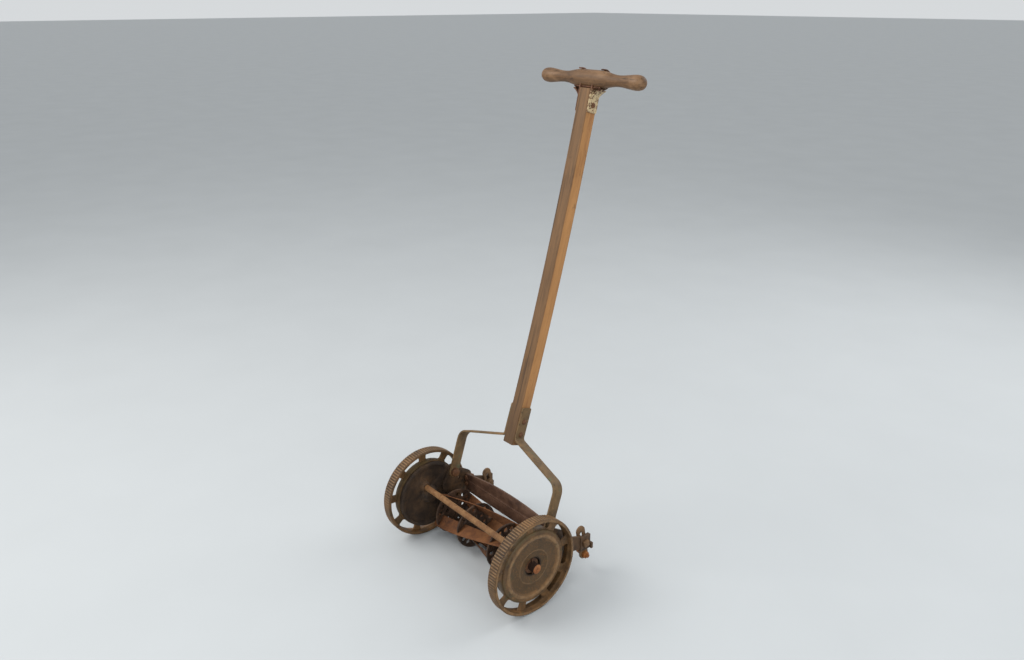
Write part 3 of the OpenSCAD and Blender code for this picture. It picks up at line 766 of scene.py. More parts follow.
@dataclass(frozen=True)
class WheelRust(Rust):
    """Cast wheel: rim, bead and rib crests lighter with wear and a painted highlight, olive drum, rough dark
    field, a hub recess darkened by grease and painted shade, and painted shade between the tread ribs.
    """

    # colour of wear, also used as a painted highlight on the bead, ring, rib crests and rim lip
    worn: Colour = (0.25, 0.145, 0.065)
    olive: Colour = (0.085, 0.06, 0.024)
    field_tone: Colour = (0.062, 0.036, 0.014)
    fleck: Colour = (0.22, 0.09, 0.024)
    hub_edge: Point = (0.022, 0.027)
    ring: Point = (0.042, 0.0022)
    field_edge: Point = (0.0655, 0.0675)
    field_out: Point = (0.212, 0.214)
    bead: Point = (0.0757, 0.0062)
    bead_out: Point = (0.2205, 0.2225)
    drum_from: Point = (0.084, 0.086)
    drum_edge: Point = (0.0907, 0.092)
    lip: Point = (0.1105, 0.1125)
    lip_out: Point = (0.2265, 0.2279)
    groove_from: Point = (0.1170, 0.1180)
    groove_edge: Point = (0.1186, 0.1194)
    tread_middle: Point = (0.2143, 0.022)
    crest: Point = (0.1190, 0.1198)

    def build(self, tree: Tree) -> bpy.types.Material:
        """Makes the material.

        Args:
            tree: The tree to build it in.

        Returns:
            The material.
        """
        at = tree.place()
        colour, rough, height = self.layers(tree, at)
        x, y, z = tree.parts(at)
        radius, out = tree.length(y, z - AXLE_HEIGHT / PER_METRE), x.absolute()
        speck = tree.noise(at, 95, 6, 0.72)
        clouds = tree.noise(at, 20, 4, 0.6).between(0.35, 0.6)
        drum = radius.between(*self.drum_from) * (1 - radius.between(*self.drum_edge)) * clouds
        colour = tree.mix(colour, self.olive, drum * 0.7)
        face = (1 - radius.between(*self.field_edge)) * out.between(*self.field_out)
        colour = tree.mix(colour, self.field_tone, face * (0.4 + 0.5 * speck))
        flecks = tree.noise(at, 240, 5, 0.75).between(0.52, 0.66)
        colour = tree.mix(colour, self.fleck, face * flecks * 0.6)
        # grease and painted shade: the hub recess darkened nearly to black
        colour = tree.mix(colour, shade(self.dark, 0.3), (1 - radius.between(*self.hub_edge)) * 0.85)
        # wear and painted highlight: lighter colour on the bead, the raised ring, the rib crests and the rim's
        # outer lip
        bead = radius.band(*self.bead) * out.between(*self.bead_out) + radius.band(*self.ring) * 0.5
        colour = tree.mix(colour, self.worn, bead * speck.between(0.3, 0.6) * 0.75)
        crest = radius.between(*self.crest) * speck.between(0.25, 0.55)
        lip = radius.between(*self.lip) * out.between(*self.lip_out) * speck.between(0.4, 0.6)
        colour = tree.mix(colour, self.worn, (crest * 0.45).most(lip * 0.6))
        # painted shade in the valleys between the tread ribs, across the middle of the tread
        groove_shade = radius.between(*self.groove_from) * (1 - radius.between(*self.groove_edge))
        colour = tree.mix(colour, shade(self.dark, 0.5), groove_shade * 0.5 * out.band(*self.tread_middle))
        height = height + face * tree.noise(at, 210, 3, 0.5) * 0.9
        return tree.dress(colour, rough - bead * 0.12 - crest * 0.15, height, self.relief, self.metallic, 0.0009)


@dataclass(frozen=True)
class ShaftWood(Finish):
    """Bowed ash shaft: honey sides, painted shade in grey on the front and rear faces, long grain and stains."""

    name: str = "weathered_shaft_wood"
    honey: Colour = (0.36, 0.172, 0.058)
    amber: Colour = (0.22, 0.085, 0.025)
    # painted shade: colour of the front and rear faces
    grey: Colour = (0.12, 0.064, 0.028)
    soot: Colour = (0.04, 0.021, 0.01)
    face_edge: Point = (0.0118, 0.0156)
    foot: Point = (0.0, 0.16)

    def build(self, tree: Tree) -> bpy.types.Material:
        """Makes the material.

        Args:
            tree: The tree to build it in.

        Returns:
            The material.
        """
        at = tree.attribute("own")
        _, deep, along = tree.parts(at)
        grain = tree.noise(tree.stretched(at, (1, 1, 0.035)), 330, 6, 0.7, 0.6)
        fine = tree.noise(tree.stretched(at, (1, 1, 0.02)), 1300, 3, 0.6)
        broad = tree.noise(tree.stretched(at, (1, 1, 0.3)), 22, 4, 0.6, 0.8)
        stain = tree.noise(tree.stretched(at, (1, 1, 0.45)), 48, 6, 0.7, 1.2)
        honey_stops = [(0.36, self.amber), (0.52, self.honey), (0.72, shade(self.honey, 1.25))]
        painted_shade_stops = [(0.36, self.soot), (0.53, self.grey), (0.74, shade(self.grey, 1.7))]
        honey = tree.ramp(grain * 0.6 + broad * 0.5, honey_stops)
        # painted shade: a darker grey copy of the wood
        grey = tree.ramp(grain * 0.7 + broad * 0.4, painted_shade_stops)
        front, rear = (0 - deep).between(*self.face_edge), deep.between(*self.face_edge)
        # painted shade over the front face, and at 0.6 over the rear face
        colour = tree.mix(honey, grey, front.most(rear * 0.6) * 0.92)
        colour = tree.mix(colour, self.soot, stain.between(0.6, 0.72) * 0.55)
        # darker towards the shaft's foot
        colour = tree.mix(colour, self.soot, (1 - along.between(*self.foot)) * 0.5)
        streak = tree.noise(tree.stretched(at, (1, 1, 0.012)), 210, 4, 0.6)
        colour = tree.mix(colour, self.soot, streak.between(0.62, 0.68) * 0.6)
        rough = 0.62 + (grain - 0.5) * 0.35
        return tree.dress(colour, rough, grain * 0.7 + fine * 0.3, 0.4, 0, 0.0006)


@dataclass(frozen=True)
class GripWood(Finish):
    """Turned grip: brown weathered wood with paler worn patches and dark checks along it."""

    name: str = "weathered_grip_wood"
    brown: Colour = (0.13, 0.066, 0.028)
    pale: Colour = (0.23, 0.127, 0.06)
    dark: Colour = (0.04, 0.021, 0.011)

    def build(self, tree: Tree) -> bpy.types.Material:
        """Makes the material.

        Args:
            tree: The tree to build it in.

        Returns:
            The material.
        """
        at = tree.place()
        along = tree.stretched(at, (0.06, 1, 1))
        grain = tree.noise(along, 300, 6, 0.7, 0.5)
        wear = tree.noise(tree.stretched(at, (0.55, 1, 1)), 34, 5, 0.62, 0.9)
        check = tree.noise(tree.stretched(at, (0.03, 1, 1)), 190, 4, 0.6)
        colour = tree.ramp(grain * 0.55 + wear * 0.5, [(0.34, self.dark), (0.5, self.brown), (0.75, self.pale)])
        colour = tree.mix(colour, self.pale, wear.between(0.53, 0.66) * 0.6)
        colour = tree.mix(colour, self.dark, check.between(0.61, 0.67) * 0.75)
        rough = 0.58 + (grain - 0.5) * 0.3 - wear.between(0.5, 0.7) * 0.1
        return tree.dress(colour, rough, grain * 0.6 + (1 - check.between(0.58, 0.67)) * 0.5, 0.4, 0, 0.0007)


@dataclass(frozen=True)
class FlakedPaint(Rust):
    """Cream paint that has flaked away from rust."""

    cream: Colour = (0.55, 0.42, 0.24)
    strap_top: Point = (1.128, 1.145)
    right_half: Point = (0.012, 0.018)

    def build(self, tree: Tree) -> bpy.types.Material:
        """Makes the material.

        Args:
            tree: The tree to build it in.

        Returns:
            The material.
        """
        at = tree.place()
        colour, rough, height = self.layers(tree, at)
        left = tree.noise(at, 120, 7, 0.72, 0.5)
        x, _, z = tree.parts(at)
        strap = 1 - z.between(*self.strap_top)
        flakes = (left - 0.12 * (1 - strap)).between(0.44, 0.47) * x.between(*self.right_half)
        grime = tree.noise(at, 300, 4, 0.6).between(0.45, 0.75)
        cream = tree.mix(self.cream, shade(self.cream, 0.5), grime)
        colour = tree.mix(colour, cream, flakes * (0.35 + 0.6 * strap))
        return tree.dress(colour, rough - flakes * 0.15, height * 0.5 + flakes * 0.6, 0.6, 0.05, 0.0007)


@dataclass(frozen=True)
class Ground(Finish):
    """Plain pale matt floor."""

    name: str = "pale_floor"
    tone: Colour = (0.5, 0.52, 0.53)

    def build(self, tree: Tree) -> bpy.types.Material:
        """Makes the material.

        Args:
            tree: The tree to build it in.

        Returns:
            The material.
        """
        at = tree.place()
        cloud = tree.noise(at, 3, 4, 0.5)
        colour = tree.mix(self.tone, shade(self.tone, 0.93), cloud)
        return tree.dress(colour, 0.55 + cloud * 0.15, tree.noise(at, 60, 3, 0.5), 0.08, 0, 0.001)


CASTING = FrameRust(
    "dark_casting", (0.011, 0.007, 0.005), (0.03, 0.018, 0.011), (0.075, 0.042, 0.021), patch=34, roughness=0.6
)
WHEEL = WheelRust(
    "cast_wheel", (0.034, 0.017, 0.007), (0.1, 0.053, 0.021), (0.2, 0.1, 0.036),
    paint=(0.07, 0.058, 0.025), paint_share=0.18, patch=38, roughness=0.54,
)
ROD = Rust(
    "tie_rod_rust", (0.085, 0.034, 0.012), (0.18, 0.083, 0.03), (0.27, 0.145, 0.06), patch=60, roughness=0.7
)
HUB_END = SpindleRust(
    "hub_end_rust", (0.11, 0.035, 0.01), (0.25, 0.085, 0.026), (0.34, 0.14, 0.05), patch=70, roughness=0.72
)
BLADE = Rust(
    "blade_rust", (0.04, 0.015, 0.007), (0.125, 0.044, 0.013), (0.22, 0.088, 0.028), patch=30, roughness=0.7
)
DISC = Rust("reel_disc_rust", (0.014, 0.008, 0.005), (0.04, 0.02, 0.011), (0.095, 0.048, 0.024), patch=40)
PLATE = Rust(
    "cross_plate_rust", (0.028, 0.013, 0.009), (0.075, 0.036, 0.021), (0.135, 0.07, 0.042), patch=36, roughness=0.6
)
SOLE = Rust("sole_rust", (0.02, 0.011, 0.007), (0.065, 0.035, 0.018), (0.14, 0.075, 0.035), patch=30)
FORK = Rust(
    "fork_paint_rust", (0.065, 0.036, 0.016), (0.14, 0.085, 0.037), (0.22, 0.125, 0.052),
    paint=(0.095, 0.102, 0.052), paint_share=0.17, patch=26, roughness=0.6,
)
BRACKET = Rust("bracket_rust", (0.045, 0.024, 0.012), (0.115, 0.062, 0.028), (0.2, 0.11, 0.05), patch=60)
BOLT = Rust("bolt_rust", (0.035, 0.016, 0.009), (0.1, 0.042, 0.018), (0.19, 0.085, 0.035), patch=110, relief=0.4)
ORANGE = Rust(
    "orange_nut_rust", (0.11, 0.032, 0.008), (0.27, 0.085, 0.018), (0.38, 0.16, 0.05), patch=120, relief=0.4
)
STEEL = Rust(
    "oiled_steel", (0.045, 0.034, 0.025), (0.13, 0.1, 0.075), (0.25, 0.2, 0.16),
    patch=90, roughness=0.42, metallic=0.6, relief=0.25,
)
PAINTED = FlakedPaint(
    "flaked_cream_paint", (0.035, 0.015, 0.008), (0.11, 0.045, 0.022), (0.2, 0.09, 0.045), patch=70
)


# ---------- sub-assemblies ----------


@dataclass
class Wheel:
    """One cast wheel: ribbed tread, web with openings, pressed drum, ring of teeth and hub."""

    side: Side
    radius: float = 120.0
    inner_face: float = 200.5
    width: float = 27.5
    rib_height: float = 1.6
    rib_count: int = 108
    rim_inner: float = 111.9
    slots: int = 9
    slot_sweep: float = 28.0
    first_slot: float = -7.0
    slot_low: float = 91.0
    slot_high: float = 110.3
    corner: float = 5.0
    teeth: int = 74

    @property
    def place(self) -> Matrix:
        """Where the wheel stands: local Z is outward from its inboard face."""
        return self.side.flip @ ON_AXLE @ Matrix.Translation((0, 0, self.inner_face))

    def tread(self, shape: Shape) -> None:
        """Spins the rim and raises its ribs.

        Args:
            shape: The shape to add to.
        """
        base, inner, w = self.radius - self.rib_height, self.rim_inner, self.width
        mid = w / 2
        profile = [
            (inner, 1.4), (inner + 0.5, 0.4), (inner + 1.6, 0), (base - 1.8, 0), (base - 0.6, 0.35), (base, 1.2),
            (base, 2.4), (base, 8), (base, mid), (base, w - 8), (base, w - 2.4), (base, w - 1.2),
            (base - 0.6, w - 0.35), (base - 1.8, w), (inner + 1.6, w), (inner + 0.5, w - 0.4), (inner, w - 1.4),
            (inner - 0.2, mid + 5.4), (inner - 0.9, mid + 3.2), (self.slot_high, mid + 2.2),
            (self.slot_high, mid - 2.2), (inner - 0.9, mid - 3.2), (inner - 0.2, mid - 5.4),
        ]
        made = shape.turned(profile, Matrix.Identity(4), self.rib_count * 8, closed=True)
        for v in made:
            r = math.hypot(v.co.x, v.co.y)
            if r < base - 0.05:
                continue
            turn = math.atan2(v.co.y, v.co.x) / (2 * math.pi) * self.rib_count
            wave = abs(turn - round(turn))
            rise = 1 - min(1, max(0, (wave - 0.2) / 0.14))
            wear = 0.82 + 0.12 * math.sin(turn * 0.71 + v.co.z * 0.2) + 0.06 * math.sin(turn * 2.3)
            edge = 1.0 if 2 < v.co.z < w - 2 else 0.55
            grow = (r + self.rib_height * min(1, wear) * rise * edge) / r
            v.co.x, v.co.y = v.co.x * grow, v.co.y * grow
        bmesh.ops.transform(shape.mesh, matrix=self.place, verts=made)

    def spokes(self, shape: Shape) -> None:
        """Sweeps the short flared spokes between the openings.

        Args:
            shape: The shape to add to.
        """
        mid = self.width / 2
        half = math.radians(360 / self.slots - self.slot_sweep) / 2
        low, high = self.slot_low - 2.4, self.rim_inner + 2.6
        radii = [low, self.slot_low] + [self.slot_low + self.corner * k for k in (0.12, 0.3, 0.55, 1)]
        radii += [self.slot_high - self.corner * k for k in (1, 0.55, 0.3, 0.12)] + [self.slot_high, high]
        section = [(-0.5, -1.4), (-0.44, -2.1), (-0.36, -2.5), (0.36, -2.5), (0.44, -2.1), (0.5, -1.4)]
        section += [(-x, -y) for x, y in section]
        for i in range(self.slots):
            middle = math.radians(self.first_slot + 180 / self.slots * (2 * i + 1))
            stations = []
            for r in radii:
                gap = min(r - self.slot_low, self.slot_high - r)
                share = max(0.0, min(1.0, 1 - gap / self.corner))
                flare = self.corner * (1 - math.sqrt(max(0.0, 1 - share * share)))
                spread = 2 * (half * r + flare)
                stations.append(Matrix.Translation((0, 0, r)) @ Matrix.Diagonal((spread, 1, 1, 1)))
            made = shape.swept(section, stations)
            for v in made:
                turn, r = middle + v.co.x / v.co.z, v.co.z
                v.co = Vector((r * math.cos(turn), r * math.sin(turn), mid + v.co.y))
            bmesh.ops.transform(shape.mesh, matrix=self.place, verts=made)

    def drum(self, shape: Shape) -> None:
        """Spins the drum, its pressed face with the bead, and the hub.

        Args:
            shape: The shape to add to.
        """
        inside = [(11.6, 1.5), (25.7, 1.5), (26.5, 2.3), (26.5, 15.5), (86.9, 15.5), (86.9, 0.4), (87.3, 0)]
        outside = [
            (90.2, 0), (90.6, 0.5), (90.6, 15.6), (90.3, 17.4), (89.4, 19), (87.6, 20.2), (85.4, 20.8), (83.6, 21),
        ]
        bead = [
            (82.2, 20.95), (81, 21.1), (80.1, 21.6), (78.9, 22.4), (77.3, 22.95), (75.6, 23.05), (73.9, 22.85),
            (72.5, 22.3), (71, 21.4), (69, 20.7), (67.2, 20.15), (66, 19.95),
        ]
        ring = [(44, 20), (43.2, 20.25), (42.6, 20.85), (41.8, 21), (41, 20.8), (40.3, 20.1), (38.5, 19.5)]
        recess = [(31, 18.5), (24.4, 17.6), (22.3, 17.1), (21.5, 16.2), (21.5, 10.4), (20.9, 10), (11.6, 10)]
        shape.turned(inside + outside + bead + ring + recess, self.place, 160, closed=True)

    def ring_teeth(self, shape: Shape) -> None:
        """Makes one tooth and spins copies of it round the drum's inside.

        Args:
            shape: The shape to add to.
        """
        flank = ((87.2, 1.75), (85.5, 1.7), (83.4, 1.14), (81.9, 0.78))
        points = [(r * math.cos(math.radians(a)), r * math.sin(math.radians(a))) for r, a in flank]
        points += [(x, -y) for x, y in reversed(points)]
        step = 2 * math.pi / self.teeth
        place = Matrix.Rotation(math.radians(-45) + step / 2, 4, "Z")
        bm = shape.mesh

        def ring() -> None:
            """Raises one tooth and copies it round."""
            made = shape.plate(points, 2, 16, place, 0.25, 1)
            edges = list({e for v in made for e in v.link_edges})
            faces = list({f for v in made for f in v.link_faces})
            bmesh.ops.spin(
                bm, geom=made + edges + faces, cent=(0, 0, 0), axis=(0, 0, 1), angle=2 * math.pi - step,
                steps=self.teeth - 1, use_duplicate=True,
            )

        made = shape.fresh(ring)
        bmesh.ops.transform(bm, matrix=self.place, verts=made)

    def build(self) -> None:
        """Makes the whole wheel as one piece."""
        shape = Shape()
        self.tread(shape)
        self.spokes(shape)
        self.drum(shape)
        self.ring_teeth(shape)
        name = f"wheel_{self.side.label}"
        shape.done(f"cast_{name}", WHEEL, name, "wheel_iron", [name])


@dataclass
class Hub:
    """What holds a wheel on: the fixed spindle, a washer and a cotter pin."""

    side: Side
    spindle_radius: float = 11.5
    inner_end: float = 182.0
    outer_end: float = 234.0
    washer_radius: float = 19.0
    washer_span: Point = (210.9, 213.3)
    pin_x: float = 216.0

    def build(self) -> None:
        """Makes the spindle, washer and pin."""
        place = self.side.flip @ ON_AXLE
        spindle, r, end = Shape(), self.spindle_radius, self.outer_end
        profile = [
            (0, self.inner_end), (r - 1, self.inner_end), (r, self.inner_end + 1), (r, end - 2.2),
            (r - 0.5, end - 1), (r - 1.8, end - 0.2), (r - 3.5, end), (3.2, end), (2.2, end - 0.8), (0, end - 2),
        ]
        spindle.turned(profile, place, 56)
        name = f"wheel_spindle_{self.side.label}"
        spindle.done(f"{name}_turned", HUB_END, "frame", "rod_iron", [name])
        keeper = Shape()
        keeper.washer(r + 0.2, self.washer_radius, *self.washer_span, place, 0.5, 48)
        across = place @ Matrix.Translation((0, 0, self.pin_x)) @ Matrix.Rotation(math.pi / 2, 4, "X")
        keeper.rod(2, -18.8, 17.4, across, 0.5, 16)
        keeper.turned([(0, 17.2), (2.4, 17), (3, 18), (2.2, 19.2), (0, 19.6)], across, 16)
        nodes = ["hub_washers", "cotter_pins"]
        keeper.done(f"hub_washer_and_pin_{self.side.label}", BOLT, "frame", "fastener_iron", nodes)


@dataclass
class Frame:
    """Side frames, tie rod and rear cross plate with their bolts."""

    rod_radius: float = 7.5
    rod_half: float = 190.0
    casting_edge: float = 1.1
    lug: Vector = field(default_factory=lambda: Vector((175, 118, 136)))
    plate_bolts: tuple[Point, ...] = ((-18.0, 12.0), (0.0, 41.0))
    screw_at: Vector = field(default_factory=lambda: Vector((161, 0, 36)))

    def castings(self) -> None:
        """Rounds the edges of the cast and rolled pieces."""
        for side in Side:
            name = f"side_frame_{side.label}"
            shape = Shape.of_node(name, self.casting_edge)
            shape.done(f"{name}_casting", CASTING, "frame", "frame_iron", [name])
        plate = Shape.of_node("rear_cross_plate", 0.8)
        plate.done("rear_cross_plate_rolled", PLATE, "frame", "plate_iron", ["rear_cross_plate"])

    def tie_rod(self) -> None:
        """Turns the tie rod with a slightly uneven surface."""
        shape = Shape()
        r, half = self.rod_radius, self.rod_half
        profile = [(0, -half), (r, -half)]
        for k in range(49):
            x = -half + 4 + (2 * half - 8) * k / 48
            profile.append((r + 0.09 * math.sin(k * 1.7) + 0.06 * math.sin(k * 3.1 + 1), x))
        profile += [(r, half), (0, half)]
        shape.turned(profile, ON_AXLE @ Matrix.Translation((*TIE_AT, 0)), 48)
        shape.done("tie_rod_forged", ROD, "frame", "rod_iron", ["tie_rod"])

    def bolts(self) -> None:
        """Makes the cross plate's bolts, the handle pivots, and the bed's pivots and adjusting screws."""
        shape, rearward = Shape(), Vector((0, 1, 0))
        for side in Side:
            for drop, turn in self.plate_bolts:
                foot = Vector((self.lug.x, 0, self.lug.z + drop))
                bolt = side.flip @ turned_to(foot, rearward)
                shape.hexagon(12, self.lug.y - 13.5, self.lug.y - 8.6, bolt, turn)
                shape.rod(4, self.lug.y - 9, self.lug.y + 12.4, bolt)
                shape.hexagon(12, self.lug.y + 3, self.lug.y + 9, bolt, turn + 17)
            pivot = side.flip @ ON_AXLE @ Matrix.Translation((*PIVOT_AT, 0))
            shape.rod(6, 169.5, 197, pivot)
            shape.rod(9.5, 194, 199.2, pivot, 1.2)
            shape.washer(6.1, 12, 179, 181.1, pivot)
            shape.hexagon(19, 171, 179, pivot, 10)
            sole = side.flip @ ON_AXLE @ Matrix.Translation((*SOLE_PIVOT_AT, 0))
            shape.rod(5, 167, 194, sole)
            shape.hexagon(17, 193, 199, sole, 22)
            screw = side.flip @ turned_to(self.screw_at, rearward)
            shape.rod(4, 110.8, 141, screw, 0.8)
            shape.hexagon(13, 140, 146, screw, 8)
            shape.hexagon(13, 128.2, 133, screw, 33)
        nodes = [
            "cross_plate_bolts", "handle_pivot_bolts", "handle_pivot_nuts", "sole_pivot_bolts", "adjusting_screws",
            "adjusting_lock_nuts",
        ]
        shape.done("frame_bolts", BOLT, "frame", "fastener_iron", nodes)

    def build(self) -> None:
        """Makes the frame's pieces."""
        self.castings()
        self.tie_rod()
        self.bolts()


@dataclass
class Reel:
    """The cutting reel: twisted blades in disc spiders on a shaft."""

    radius: float = 62.0
    inner_radius: float = 38.0
    length: float = 344.0
    twist: float = 90.0
    blades: int = 4
    phase: float = 166.0
    lean: float = -28.0
    edge_angle: float = 3.0
    discs_at: tuple[tuple[str, float], ...] = (
        ("left", -150.0), ("inner_left", -60.0), ("inner_right", 60.0), ("right", 150.0),
    )
    peen_radius: float = 56.5
    peen_angle: float = 9.0
    steps: int = 72

    def turn_at(self, number: int, x: float) -> float:
        """Angle of a blade's outer edge at a place along the reel, in radians."""
        return math.radians(self.phase + 360 / self.blades * (number - 1) - self.twist * x / self.length)

    def blade(self, number: int) -> None:
        """Sweeps one blade along the reel.

        Args:
            number: Number of the blade, counted from 1.
        """
        back = self.lean + 1.5 * self.edge_angle
        polar = (
            (self.radius, 0), (self.radius, self.edge_angle),
            (self.inner_radius, back), (self.inner_radius, self.lean),
        )
        corners = [Vector((r * math.cos(math.radians(a)), r * math.sin(math.radians(a)))) for r, a in polar]
        shares = ((0.15, 0.75), (0.03, 0.3, 0.7, 0.97), (0.25, 0.75), (0.03, 0.3, 0.7, 0.985))
        section = [
            tuple(corner.lerp(corners[(k + 1) % 4], t)) for k, corner in enumerate(corners) for t in shares[k]
        ]
        stations, lengths = [], []
        for k in range(self.steps + 1):
            x = -self.length / 2 + self.length * k / self.steps
            turn = Matrix.Rotation(self.turn_at(number, x), 4, "Z")
            stations.append(ON_REEL @ Matrix.Translation((0, 0, x)) @ turn)
            lengths.append(x / PER_METRE)
        shape = Shape()
        shape.swept(section, stations, lengths)
        shape.done(f"twisted_blade_{number}", BLADE, "reel", "blade_steel", [f"reel_blade_{number}"], 30)

    def discs(self) -> None:
        """Rounds the spiders and peens the blades to them."""
        for word, x in self.discs_at:
            name = f"reel_spider_{word}"
            shape = Shape.of_node(name, 0.7)
            for number in range(1, self.blades + 1):
                turn = Matrix.Rotation(self.turn_at(number, x) + math.radians(self.peen_angle), 4, "Z")
                for side in Side:
                    spot = ON_REEL @ turn @ Matrix.Translation((self.peen_radius, 0, x + side.value * 2.4))
                    if side is Side.LEFT:
                        spot = spot @ Matrix.Rotation(math.pi, 4, "X")
                    shape.dome(2.6, 1.5, spot, 0.4)
            shape.done(f"{name}_pressed", DISC, "reel", "spider_iron", [name])

    def shaft(self) -> None:
        """Turns the shaft."""
        shape = Shape()
        profile = [
            (0, -215.6), (5.4, -215.6), (6, -215), (6, -201), (6.8, -201), (7, -200.6), (7, -140), (7.15, -100),
            (7, -40), (7.1, 30), (7, 200.6), (6.8, 201), (6, 201), (6, 215), (5.4, 215.6), (0, 215.6),
        ]
        shape.turned(profile, ON_REEL, 40)
        shape.done("reel_shaft_turned", DISC, "reel", "spider_iron", ["reel_shaft"])

    def build(self) -> None:
        """Makes the reel's pieces."""
        for number in range(1, self.blades + 1):
            self.blade(number)
        self.discs()
        self.shaft()


@dataclass
class CuttingBed:
    """Sole plate and bed knife."""

    def build(self) -> None:
        """Rounds the sole plate and the knife."""
        sole = Shape.of_node("sole_plate", 0.7)
        sole.done("sole_plate_casting", SOLE, "cutting_bed", "plate_iron", ["sole_plate"])
        knife = Shape.of_node("bed_knife", 0.3, 1, 50)
        knife.done("bed_knife_strip", BLADE, "cutting_bed", "blade_steel", ["bed_knife"])


@dataclass
class RollerBracket:
    """A slotted bracket with the stub axle that the ground roller turned on."""

    side: Side
    foot: Point = (195.96, 49.96)
    inner_x: float = 181.7
    outer_x: float = 186.7
    clamp: Point = (188.4, 89.5)
    tilt: float = -79.2

    def build(self) -> None:
        """Makes the bracket, its stub axle and its clamp bolt."""
        label = self.side.label
        name, axle, body = f"roller_bracket_{label}", f"roller_stub_axle_{label}", f"bracket_{label}"
        Shape.of_node(name, 0.9).done(f"{name}_forged", BRACKET, body, "bracket_iron", [name])
        place = self.side.flip @ AXIAL @ Matrix.Translation((*self.foot, 0))
        stub = Shape()
        stub.rod(6, self.inner_x - 18, self.inner_x, place, 1.0)
        stub.rod(5, self.inner_x - 1, self.outer_x + 14, place, 1.0)
        stub.hexagon(17, self.outer_x, self.outer_x + 8, place, 14)
        stub.done(f"{axle}_turned", ORANGE, body, "fastener_iron", [axle])
        place = self.side.flip @ AXIAL @ Matrix.Translation((*self.clamp, 0))
        place = place @ Matrix.Rotation(math.radians(self.tilt), 4, "Z")
        clamp = Shape()
        clamp.rod(4, self.inner_x - 13, 196.4, place)
        clamp.plate(rounded_box(16, 16, 0.8, 1), 196, 203, place, 1.0)
        clamp.washer(4, 11, 179.5, 181.4, place)
        clamp.hexagon(17, 171.5, 179.4, place, 5)
        nodes = ["bracket_clamp_bolts", "bracket_clamp_nuts"]
        clamp.done(f"bracket_clamp_{label}", BRACKET, "frame", "fastener_iron", nodes)


